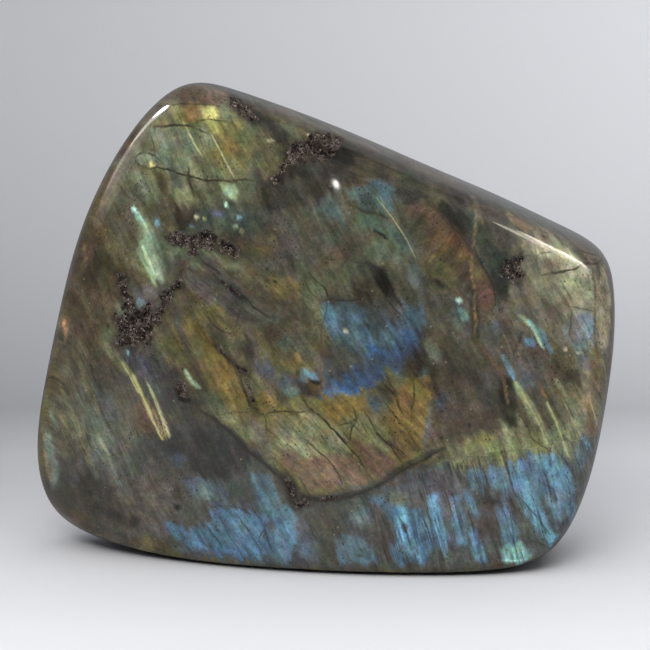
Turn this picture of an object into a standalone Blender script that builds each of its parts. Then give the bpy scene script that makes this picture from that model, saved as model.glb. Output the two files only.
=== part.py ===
"""A polished labradorite freeform: one upright stone that stands on a flat cut base.

The stone is a rounded slab, wide at the foot and thinner at the top. Its front face leans back and is
slightly domed, its edges are rolled over, and small rough pits are left in the polished front.
It is modelled as a cage of six walls that a Subdivision Surface rounds off, as grinding rounds a sawn
block, and the pits are cut out of the rounded stone.
Metres, +Z up, the front face looks along -Y, and the origin is under the middle of the base.
"""

import math
import random

import bmesh
import bpy
from mathutils import Matrix, Vector, noise
from mathutils.bvhtree import BVHTree

MM = 0.001

# Driving dimensions, in millimetres
FRONT_FOOT_Y = -27.0        # where the front face meets the table, on the middle line
BACK_FOOT_Y = 24.0          # where the back meets the table
FRONT_LEAN = math.radians(9.5)
FRONT_CROWN_X = 18.0        # the front face is proudest here
FRONT_DOME_ACROSS = 10.0    # how far the front falls back, a DOME_REACH_X to either side
FRONT_DOME_UP = 3.0
FOOT_CROWN_X = 30.0         # the foot of the front falls back further, away from this place
FOOT_FALL = 16.5            # how far, a DOME_REACH_X to the left of it
FOOT_FALL_HEIGHT = 26.0     # the height over which that fades out
BACK_CROWN_X = 4.0
BACK_DOME_ACROSS = 9.0
BACK_BULGE = 5.0            # how much prouder the back is at BACK_BULGE_Z than at the foot
BACK_BULGE_Z = 58.0
DOME_REACH_X = 90.0
DOME_REACH_Z = 70.0
DOME_MIDDLE_Z = 60.0

# The outline seen from the front, as points of the cage, x and z in millimetres. Neighbouring sides
# share their corner point.
LEFT_FOOT, RIGHT_FOOT = (-74.5, 6.5), (60.5, 2.0)
APEX, SHOULDER = (-38.0, 126.5), (73.0, 81.5)
FOOT_SIDE = [
    LEFT_FOOT, (-57.0, 1.5), (-38.0, 0.0), (-19.0, 0.0), (2.0, 0.0), (23.0, 0.0), (43.0, 0.0), RIGHT_FOOT,
]
TOP_SIDE = [
    APEX, (-23.0, 122.0), (-4.5, 115.5), (12.5, 108.5), (29.5, 101.0), (45.5, 94.5), (61.0, 87.0), SHOULDER,
]
LEFT_SIDE = [LEFT_FOOT, (-78.5, 25.0), (-74.5, 46.0), (-70.0, 66.0), (-65.0, 86.0), (-54.0, 108.5), APEX]
RIGHT_SIDE = [RIGHT_FOOT, (69.0, 18.5), (72.5, 34.0), (75.0, 50.0), (76.0, 62.0), (75.5, 73.5), SHOULDER]

# How far the rolled edge reaches in from the outline, on the front and on the back
FRONT_ROLL = {"foot": 3.0, "right": 6.0, "top": 5.0, "left": 11.0}
BACK_ROLL = {"foot": 4.0, "right": 10.0, "top": 8.0, "left": 12.0}
# The rings of the cage between the front border and the back border. Each has its share of the roll
# that it keeps, and its place in the depth: a share of the front roll, the thickness or the back roll.
ROLL_KEPT = [1.0, 0.22, 0.0, 0.0, 0.22, 1.0]
BEVEL_CREASE = 0.35         # how sharp the line is where the front face meets its roll, top and right
WAVER = 1.2                 # how far the ground edges wander, so that no side is a plain extrusion
WAVER_SCALE = 38.0
SMOOTHING_LEVELS = 2

# The rough pits in the front face. Each is made of lumps: x, z, half length, half width and depth in
# millimetres, and how far the lump's length is turned up from level, in degrees.
PITS = {
    "upper": [(-6.5, 108.0, 3.5, 2.7, 1.6, 5), (-0.5, 109.0, 4.1, 2.8, 1.8, 10),
              (-10.5, 103.0, 2.4, 0.7, 0.8, 58), (-12.0, 100.5, 1.5, 1.1, 0.9, 40)],
    "rim": [(-22.5, 119.5, 1.6, 1.1, 0.8, -40), (-19.5, 117.5, 1.8, 1.3, 0.9, -40),
            (-18.0, 116.0, 1.2, 0.9, 0.7, -30)],
    "middle": [(-36.0, 85.5, 3.3, 1.8, 1.3, -5), (-30.5, 85.5, 3.3, 2.1, 1.6, -3),
               (-33.0, 82.5, 2.1, 1.5, 1.3, 80), (-24.5, 83.5, 3.2, 1.6, 1.2, -25)],
    "vein": [(-37.5, 74.0, 2.3, 1.1, 0.9, 60), (-40.0, 71.0, 2.4, 1.3, 1.0, 60),
             (-42.0, 67.0, 2.4, 1.2, 1.0, 60)],
    "left": [(-48.0, 63.0, 5.0, 4.4, 1.9, 0), (-50.5, 60.0, 3.0, 2.3, 1.5, 20),
             (-44.5, 64.5, 2.8, 2.0, 1.4, 30), (-50.0, 69.5, 3.4, 1.5, 1.0, -70),
             (-51.5, 73.5, 2.4, 1.3, 0.8, -75)],
    "slit": [(-22.5, 72.5, 3.0, 0.55, 0.7, -37)],
    "right": [(49.0, 80.0, 2.4, 1.9, 1.1, 70), (49.0, 77.0, 2.2, 1.8, 1.0, 60),
              (46.5, 78.5, 2.2, 0.8, 1.2, 85)],
    "low": [(-36.0, 46.5, 2.8, 1.2, 0.8, -60)],
    "seam": [(-25.5, 57.0, 2.4, 0.6, 0.5, -45), (-21.0, 53.0, 2.0, 0.6, 0.5, -45),
             (-18.5, 47.5, 2.8, 0.7, 0.6, -72)],
    "ledge": [(-8.0, 22.5, 2.8, 0.8, 0.7, -70), (-4.5, 19.5, 2.4, 1.0, 0.8, 20),
              (1.0, 20.5, 2.8, 0.8, 0.7, 0)],
}
LUMP_WAVER = 0.34           # how much a lump's wall wanders, as a share of its radius
LUMP_GRAIN = 0.07
LUMP_SEED = 7
LUMP_RISE = 0.25            # how far a lump's middle stands out of the face, in shares of its depth
SMALL_LUMP = 1.9            # shorter lumps than this are made with fewer facets

STONE_COLOUR = (0.082, 0.082, 0.066, 1.0)
POLISH_ROUGHNESS = 0.12


def clear_scene():
    for obj in list(bpy.data.objects):
        bpy.data.objects.remove(obj, do_unlink=True)


def front_y(x, z):
    """The depth of the front face: it leans back, and falls away from its crown and along its foot."""
    across = FRONT_DOME_ACROSS * ((x - FRONT_CROWN_X) / DOME_REACH_X) ** 2
    up = FRONT_DOME_UP * ((z - DOME_MIDDLE_Z) / DOME_REACH_Z) ** 2
    foot = FOOT_FALL * ((x - FOOT_CROWN_X) / DOME_REACH_X) ** 2 * math.exp(-z / FOOT_FALL_HEIGHT)
    return FRONT_FOOT_Y + z * math.tan(FRONT_LEAN) + across + up + foot


def back_y(x, z):
    """The depth of the back face: upright, bulging a little below its middle."""
    across = BACK_DOME_ACROSS * ((x - BACK_CROWN_X) / DOME_REACH_X) ** 2
    bulge = BACK_BULGE * (1 - ((z - BACK_BULGE_Z) / BACK_BULGE_Z) ** 2)
    return BACK_FOOT_Y + bulge - across


def blend(a, b, share):
    return a + (b - a) * share


def outline():
    """The outline's points going round from the left foot, each with its front and back roll."""
    sides = [("foot", FOOT_SIDE), ("right", RIGHT_SIDE), ("top", TOP_SIDE[::-1]), ("left", LEFT_SIDE[::-1])]
    points = []
    for number, (side, places) in enumerate(sides):
        before = sides[number - 1][0]
        for step, place in enumerate(places[:-1]):
            share = 0.5 if step == 0 else 1.0
            rolls = [blend(roll[before], roll[side], share) for roll in (FRONT_ROLL, BACK_ROLL)]
            points.append((Vector(place), *rolls))
    return points


def inward(points, index):
    """The direction into the outline at one of its points."""
    ahead = points[(index + 1) % len(points)][0]
    behind = points[index - 1][0]
    along = (ahead - behind).normalized()
    return Vector((-along.y, along.x))


def on_foot(place):
    return place.y < 1.0


def ring(points, level):
    """One ring of the cage: the outline drawn in by the roll, at its depth."""
    placed = []
    for index, (place, front_roll, back_roll) in enumerate(points):
        kept = ROLL_KEPT[level]
        if on_foot(place) and level not in (0, len(ROLL_KEPT) - 1):
            kept = 0.0
        roll = front_roll if level < 3 else back_roll
        spot = place + inward(points, index) * roll * kept
        front, back = front_y(*spot), back_y(*spot)
        depths = [
            front + 0.10 * front_roll,
            front + 0.60 * front_roll,
            blend(front, back, 0.36),
            blend(front, back, 0.66),
            back - 0.60 * back_roll,
            back - 0.10 * back_roll,
        ]
        y = depths[level]
        if not on_foot(place):
            sway = noise.noise(Vector((spot.x, y * 1.7, spot.y)) / WAVER_SCALE)
            spot = spot + inward(points, index) * WAVER * sway * (level > 2)
        placed.append(Vector((spot.x, y, spot.y)))
    return placed


def grid_places(border, depth_at):
    """A Coons patch over a border ring: rows of points from the foot to the top."""
    across, up = len(FOOT_SIDE) - 1, len(LEFT_SIDE) - 1
    foot = border[: across + 1]
    right = border[across : across + up + 1]
    top = border[across + up : 2 * across + up + 1][::-1]
    left = ([*border[2 * across + up :], border[0]])[::-1]
    rows = []
    for j in range(up + 1):
        t = j / up
        row = []
        for i in range(across + 1):
            s = i / across
            flat = (
                foot[i] * (1 - t) + top[i] * t + left[j] * (1 - s) + right[j] * s
                - (foot[0] * (1 - s) + foot[-1] * s) * (1 - t)
                - (top[0] * (1 - s) + top[-1] * s) * t
            )
            edge = i in (0, across) or j in (0, up)
            y = flat.y if edge else depth_at(flat.x, flat.z)
            row.append(Vector((flat.x, y, flat.z)))
        rows.append(row)
    return rows


def border_indices(across, up):
    """The grid's border positions going round from the left foot, as the outline goes."""
    foot = [(0, i) for i in range(across)]
    right = [(j, across) for j in range(up)]
    top = [(up, i) for i in range(across, 0, -1)]
    left = [(j, 0) for j in range(up, 0, -1)]
    return foot + right + top + left


def cage_mesh():
    """The closed cage: a front grid, rings round the rolled sides, and a back grid."""
    points = outline()
    rings = [ring(points, level) for level in range(len(ROLL_KEPT))]
    across, up = len(FOOT_SIDE) - 1, len(LEFT_SIDE) - 1
    cage = bmesh.new()

    def wall(places):
        return [[cage.verts.new(place * MM) for place in row] for row in places]

    front = wall(grid_places(rings[0], front_y))
    back = wall(grid_places(rings[-1], back_y))
    borders = border_indices(across, up)
    loops = [[front[j][i] for j, i in borders]]
    for middle in rings[1:-1]:
        loops.append([cage.verts.new(place * MM) for place in middle])
    loops.append([back[j][i] for j, i in borders])
    for rows, turned in ((front, False), (back, True)):
        for j in range(up):
            for i in range(across):
                corners = [rows[j][i], rows[j][i + 1], rows[j + 1][i + 1], rows[j + 1][i]]
                cage.faces.new(corners[::-1] if turned else corners)
    for near, far in zip(loops, loops[1:]):
        for index in range(len(near)):
            after = (index + 1) % len(near)
            cage.faces.new([near[after], near[index], far[index], far[after]])
    sharpness = cage.edges.layers.float.new("crease_edge")
    creased = loops[0][across : 2 * across + up + 1]
    for start, end in zip(creased, creased[1:]):
        cage.edges.get((start, end))[sharpness] = BEVEL_CREASE
    bmesh.ops.recalc_face_normals(cage, faces=cage.faces)
    mesh = bpy.data.meshes.new("labradorite_stone")
    cage.to_mesh(mesh)
    cage.free()
    return mesh


def stone_material():
    material = bpy.data.materials.new("polished_labradorite")
    material.use_nodes = True
    surface = material.node_tree.nodes["Principled BSDF"]
    surface.inputs["Base Color"].default_value = STONE_COLOUR
    surface.inputs["Roughness"].default_value = POLISH_ROUGHNESS
    surface.inputs["Metallic"].default_value = 0.0
    return material


def rounded_stone():
    """The cage as an object, rounded by Subdivision Surface, before the pits are cut."""
    stone = bpy.data.objects.new("labradorite_stone", cage_mesh())
    bpy.context.scene.collection.objects.link(stone)
    stone.data.materials.append(stone_material())
    rounding = stone.modifiers.new("rounding", "SUBSURF")
    rounding.levels = SMOOTHING_LEVELS
    rounding.render_levels = SMOOTHING_LEVELS
    return stone


def stand_on_origin(stone):
    """Moves the cage so that the rounded stone's box has the middle of its underside at the origin."""
    graph = bpy.context.evaluated_depsgraph_get()
    rounded = stone.evaluated_get(graph).to_mesh()
    places = [vertex.co.copy() for vertex in rounded.vertices]
    low = Vector([min(place[axis] for place in places) for axis in range(3)])
    high = Vector([max(place[axis] for place in places) for axis in range(3)])
    middle = (low + high) / 2
    stone.data.transform(Matrix.Translation((-middle.x, -middle.y, -low.z)))


def surface_finder(stone):
    """A function that gives the front surface's point and normal at an x and z in millimetres."""
    graph = bpy.context.evaluated_depsgraph_get()
    tree = BVHTree.FromObject(stone, graph)

    def find(x, z):
        start = Vector((x * MM, -1.0, z * MM))
        place, normal, _, _ = tree.ray_cast(start, Vector((0.0, 1.0, 0.0)))
        return place, normal

    return find


def lump_cutter(name, place, normal, lump, dice):
    """A rough lump that cuts one hollow: long and wide along the face, and as deep as the pit."""
    _, _, half_length, half_width, depth, turn = lump
    shape = bmesh.new()
    bmesh.ops.create_icosphere(shape, subdivisions=1 if half_length < SMALL_LUMP else 2, radius=1.0)
    start = Vector([dice.uniform(-50, 50) for _ in range(3)])
    for vertex in shape.verts:
        waver = LUMP_WAVER * noise.noise(vertex.co * 1.6 + start)
        vertex.co *= 1 + waver + dice.uniform(-LUMP_GRAIN, LUMP_GRAIN)
        vertex.co.x *= half_length * MM
        vertex.co.y *= half_width * MM
        vertex.co.z *= depth * MM * (1 + LUMP_RISE)
    mesh = bpy.data.meshes.new(name)
    shape.to_mesh(mesh)
    shape.free()
    along = Vector((math.cos(math.radians(turn)), 0.0, math.sin(math.radians(turn))))
    along = (along - along.dot(normal) * normal).normalized()
    cutter = bpy.data.objects.new(name, mesh)
    cutter.location = place + normal * depth * MM * LUMP_RISE
    cutter.rotation_mode = "QUATERNION"
    cutter.rotation_quaternion = Matrix((along, normal.cross(along), normal)).transposed().to_quaternion()
    cutter.hide_render = True
    cutter.display_type = "WIRE"
    return cutter


def cut_pits(stone):
    """Cuts every lump of every pit out of the stone with one Boolean."""
    find = surface_finder(stone)
    dice = random.Random(LUMP_SEED)
    cutters = bpy.data.collections.new("pit_cutters")
    bpy.context.scene.collection.children.link(cutters)
    for pit, lumps in PITS.items():
        for number, lump in enumerate(lumps):
            place, normal = find(lump[0], lump[1])
            cutters.objects.link(lump_cutter(f"cutter_{pit}_{number}", place, normal, lump, dice))
    pits = stone.modifiers.new("pits", "BOOLEAN")
    pits.operation = "DIFFERENCE"
    pits.solver = "EXACT"
    pits.operand_type = "COLLECTION"
    pits.collection = cutters


def build():
    clear_scene()
    stone = rounded_stone()
    stand_on_origin(stone)
    stone.data.shade_smooth()
    cut_pits(stone)


build()
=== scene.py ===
"""A polished labradorite freeform on a pale studio floor.

The stone is drawn out of a sawn block, rounded, and its rough pits are sunk and lined with fine grains.
Its colours lie in patches, panels and streaks on the front and the back, in millimetres. The front's places
were marked by hand on a flat view and turned into millimetres by a helper script.
"""

import math
import random

import bmesh
import bpy
import numpy as np
from mathutils import Matrix, Vector
from mathutils.bvhtree import BVHTree


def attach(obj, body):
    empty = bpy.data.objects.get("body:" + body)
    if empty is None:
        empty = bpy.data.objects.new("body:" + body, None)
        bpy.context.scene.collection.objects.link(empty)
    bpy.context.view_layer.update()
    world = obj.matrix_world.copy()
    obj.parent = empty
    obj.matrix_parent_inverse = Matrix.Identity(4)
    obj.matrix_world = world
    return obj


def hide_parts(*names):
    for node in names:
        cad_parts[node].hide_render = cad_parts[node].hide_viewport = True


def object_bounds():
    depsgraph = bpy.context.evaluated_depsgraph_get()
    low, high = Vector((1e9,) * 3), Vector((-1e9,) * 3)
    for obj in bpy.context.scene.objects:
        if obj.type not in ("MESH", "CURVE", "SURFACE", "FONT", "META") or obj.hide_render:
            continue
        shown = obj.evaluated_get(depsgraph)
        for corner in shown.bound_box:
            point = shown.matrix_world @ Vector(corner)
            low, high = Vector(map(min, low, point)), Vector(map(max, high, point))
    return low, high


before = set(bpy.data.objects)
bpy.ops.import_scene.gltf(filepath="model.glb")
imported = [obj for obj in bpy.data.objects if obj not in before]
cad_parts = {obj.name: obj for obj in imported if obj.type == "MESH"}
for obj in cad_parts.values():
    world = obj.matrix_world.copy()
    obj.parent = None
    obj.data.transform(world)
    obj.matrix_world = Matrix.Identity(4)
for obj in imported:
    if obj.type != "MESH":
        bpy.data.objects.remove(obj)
cad_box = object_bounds()

MM = 0.001
STONE_NODE = "labradorite_stone"

# The shape of the block, in millimetres
FRONT_FOOT_Y = -27.0
BACK_FOOT_Y = 24.0
FRONT_LEAN = math.radians(9.5)
FRONT_CROWN_X = 18.0
FRONT_DOME_ACROSS = 10.0
FRONT_DOME_UP = 3.0
FOOT_CROWN_X = 30.0
FOOT_FALL = 16.5
FOOT_FALL_HEIGHT = 26.0
BACK_CROWN_X = 4.0
BACK_DOME_ACROSS = 9.0
BACK_BULGE = 5.0
BACK_BULGE_Z = 58.0
DOME_REACH_X = 90.0
DOME_REACH_Z = 70.0
DOME_MIDDLE_Z = 60.0
LEFT_FOOT, RIGHT_FOOT = (-74.5, 6.5), (60.5, 2.0)
APEX, SHOULDER = (-38.0, 126.5), (73.0, 81.5)
FOOT_SIDE = [LEFT_FOOT, (-57.0, 1.5), (-38.0, 0.0), (-19.0, 0.0), (2.0, 0.0), (23.0, 0.0),
    (43.0, 0.0), RIGHT_FOOT]
TOP_SIDE = [APEX, (-23.0, 122.0), (-4.5, 115.5), (12.5, 108.5), (29.5, 101.0), (45.5, 94.5),
    (61.0, 87.0), SHOULDER]
LEFT_SIDE = [LEFT_FOOT, (-78.5, 25.0), (-74.5, 46.0), (-70.0, 66.0), (-65.0, 86.0), (-54.0, 108.5), APEX]
RIGHT_SIDE = [RIGHT_FOOT, (69.0, 18.5), (72.5, 34.0), (75.0, 50.0), (76.0, 62.0), (75.5, 73.5), SHOULDER]
COLUMNS = len(FOOT_SIDE) - 1
ROWS = len(LEFT_SIDE) - 1
FRONT_ROLL = {"foot": 3.0, "right": 6.0, "top": 5.0, "left": 11.0}
BACK_ROLL = {"foot": 4.0, "right": 10.0, "top": 8.0, "left": 12.0}
ROLL_KEPT = [1.0, 0.22, 0.0, 0.0, 0.22, 1.0]
CELL = 20
LAYER_CELL = 10
LAYERS = len(ROLL_KEPT) - 1
EDGE_LAYERS = (0.10, 0.60)      # how deep the outer layers lie, as shares of the roll
MIDDLE_LAYERS = (0.36, 0.66)    # and the middle ones, as shares of the way from front to back
BEVEL_CREASE = 0.35
ROUNDING_LEVELS = 4
FINE_TILT = -0.74         # faces that look forward more than this get finer squares
FINE_FROM = 1.5           # and lie above this height

# The rough pits: the lumps of each, with their x, z, half length, half width, depth and turn
PITS = {
    "upper": [(-6.5, 108.0, 3.5, 2.7, 1.6, 5), (-0.5, 109.0, 4.1, 2.8, 1.8, 10),
              (-10.5, 103.0, 2.4, 0.7, 0.8, 58), (-12.0, 100.5, 1.5, 1.1, 0.9, 40)],
    "rim": [(-22.5, 119.5, 1.6, 1.1, 0.8, -40), (-19.5, 117.5, 1.8, 1.3, 0.9, -40),
            (-18.0, 116.0, 1.2, 0.9, 0.7, -30)],
    "middle": [(-36.0, 85.5, 3.3, 1.8, 1.3, -5), (-30.5, 85.5, 3.3, 2.1, 1.6, -3),
               (-33.0, 82.5, 2.1, 1.5, 1.3, 80), (-24.5, 83.5, 3.2, 1.6, 1.2, -25)],
    "vein": [(-37.5, 74.0, 2.3, 1.1, 0.9, 60), (-40.0, 71.0, 2.4, 1.3, 1.0, 60),
             (-42.0, 67.0, 2.4, 1.2, 1.0, 60)],
    "left": [(-48.0, 63.0, 5.0, 4.4, 1.9, 0), (-50.5, 60.0, 3.0, 2.3, 1.5, 20),
             (-44.5, 64.5, 2.8, 2.0, 1.4, 30), (-50.0, 69.5, 3.4, 1.5, 1.0, -70),
             (-51.5, 73.5, 2.4, 1.3, 0.8, -75)],
    "slit": [(-22.5, 72.5, 3.0, 0.55, 0.7, -37)],
    "right": [(49.0, 80.0, 2.4, 1.9, 1.1, 70), (49.0, 77.0, 2.2, 1.8, 1.0, 60),
              (46.5, 78.5, 2.2, 0.8, 1.2, 85)],
    "low": [(-36.0, 46.5, 2.8, 1.2, 0.8, -60)],
    "seam": [(-25.5, 57.0, 2.4, 0.6, 0.5, -45), (-21.0, 53.0, 2.0, 0.6, 0.5, -45),
             (-18.5, 47.5, 2.8, 0.7, 0.6, -72)],
    "ledge": [(-8.0, 22.5, 2.8, 0.8, 0.7, -70), (-4.5, 19.5, 2.4, 1.0, 0.8, 20),
              (1.0, 20.5, 2.8, 0.8, 0.7, 0)],
}
LINED_PITS = ("upper", "rim", "middle", "vein", "left", "right")   # these hold grains
PIT_EDGE_WAVER = 0.75
GRAINS_PER_SQUARE_MM = 2.6
GRAIN_SIZE = (0.12, 0.28)
WELL_IN_FRONT = -0.2      # in metres, where the search for the surface starts


def shade(red, green, blue):
    """A colour as the eye reads it on the stone, 0 to 255, turned into light."""
    light = [c / 255 for c in (red, green, blue)]
    return tuple(c / 12.92 if c <= 0.04045 else ((c + 0.055) / 1.055) ** 2.4 for c in light)


def full(red, green, blue):
    """The same colour as a node takes it, with nothing let through."""
    return (*shade(red, green, blue), 1.0)


# The stone's colours
BODY = shade(92, 88, 72)
TAUPE = shade(110, 99, 84)
STONE_GREY = shade(100, 96, 84)
LILAC_GREY = shade(102, 97, 101)
SLATE = shade(84, 88, 91)
SLATE_BLUE = shade(82, 92, 112)
CHARCOAL = shade(60, 58, 55)
SOOT = shade(40, 37, 34)
UMBER = shade(62, 51, 41)
BROWN = shade(94, 77, 54)
RUST = shade(124, 82, 50)
AMBER = shade(152, 108, 50)
ORANGE = shade(172, 122, 66)
GOLD = shade(148, 122, 58)
OLIVE = shade(112, 103, 64)
DARK_OLIVE = shade(72, 66, 46)
MOSS = shade(95, 104, 72)
LIME = shade(152, 152, 86)
LEMON = shade(208, 202, 120)
SAGE = shade(116, 125, 98)
PALE_SAGE = shade(146, 158, 122)
MINT = shade(150, 190, 155)
MINT_WHITE = shade(190, 226, 190)
SEA_GREEN = shade(90, 120, 104)
TEAL = shade(82, 110, 110)
DARK_TEAL = shade(66, 80, 75)
CYAN = shade(128, 190, 184)
PALE_CYAN = shade(172, 212, 200)
SKY = shade(98, 156, 186)
BLUE = shade(80, 132, 166)
DEEP_BLUE = shade(62, 102, 156)
BRIGHT_BLUE = shade(66, 120, 182)
DIM_BLUE = shade(88, 108, 126)
PALE_BLUE = shade(120, 144, 154)
VIOLET = shade(96, 96, 138)
BRONZE = shade(128, 100, 74)
ROSE = shade(124, 88, 74)
PINK = shade(136, 104, 84)
CREAM = shade(196, 184, 150)
SEAL_BROWN = shade(53, 44, 35)
INK_GREEN = shade(53, 55, 47)
WALNUT = shade(84, 69, 56)
ASH = shade(90, 91, 87)
TAWNY = shade(126, 94, 57)
STEEL_BLUE = shade(78, 103, 120)
COPPER = shade(142, 102, 59)
FERN = shade(108, 114, 86)
MUSTARD = shade(129, 120, 66)
PEWTER = shade(101, 104, 114)
KHAKI = shade(128, 128, 87)
SPRUCE = shade(102, 127, 125)
SEA_BLUE = shade(88, 128, 147)
FAWN = shade(156, 126, 89)
LICHEN = shade(125, 139, 120)
WILLOW = shade(141, 143, 103)
LAKE_BLUE = shade(93, 142, 171)
PALE_WILLOW = shade(150, 158, 110)
REED = shade(152, 157, 123)
YELLOW_GREEN = shade(172, 173, 90)
STRAW_GREEN = shade(167, 170, 114)
PISTACHIO = shade(157, 175, 130)
ICE_BLUE = shade(108, 166, 189)
APRICOT = shade(209, 160, 104)
PALE_LEMON = shade(236, 230, 168)
SAND = shade(160, 153, 124)

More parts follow.
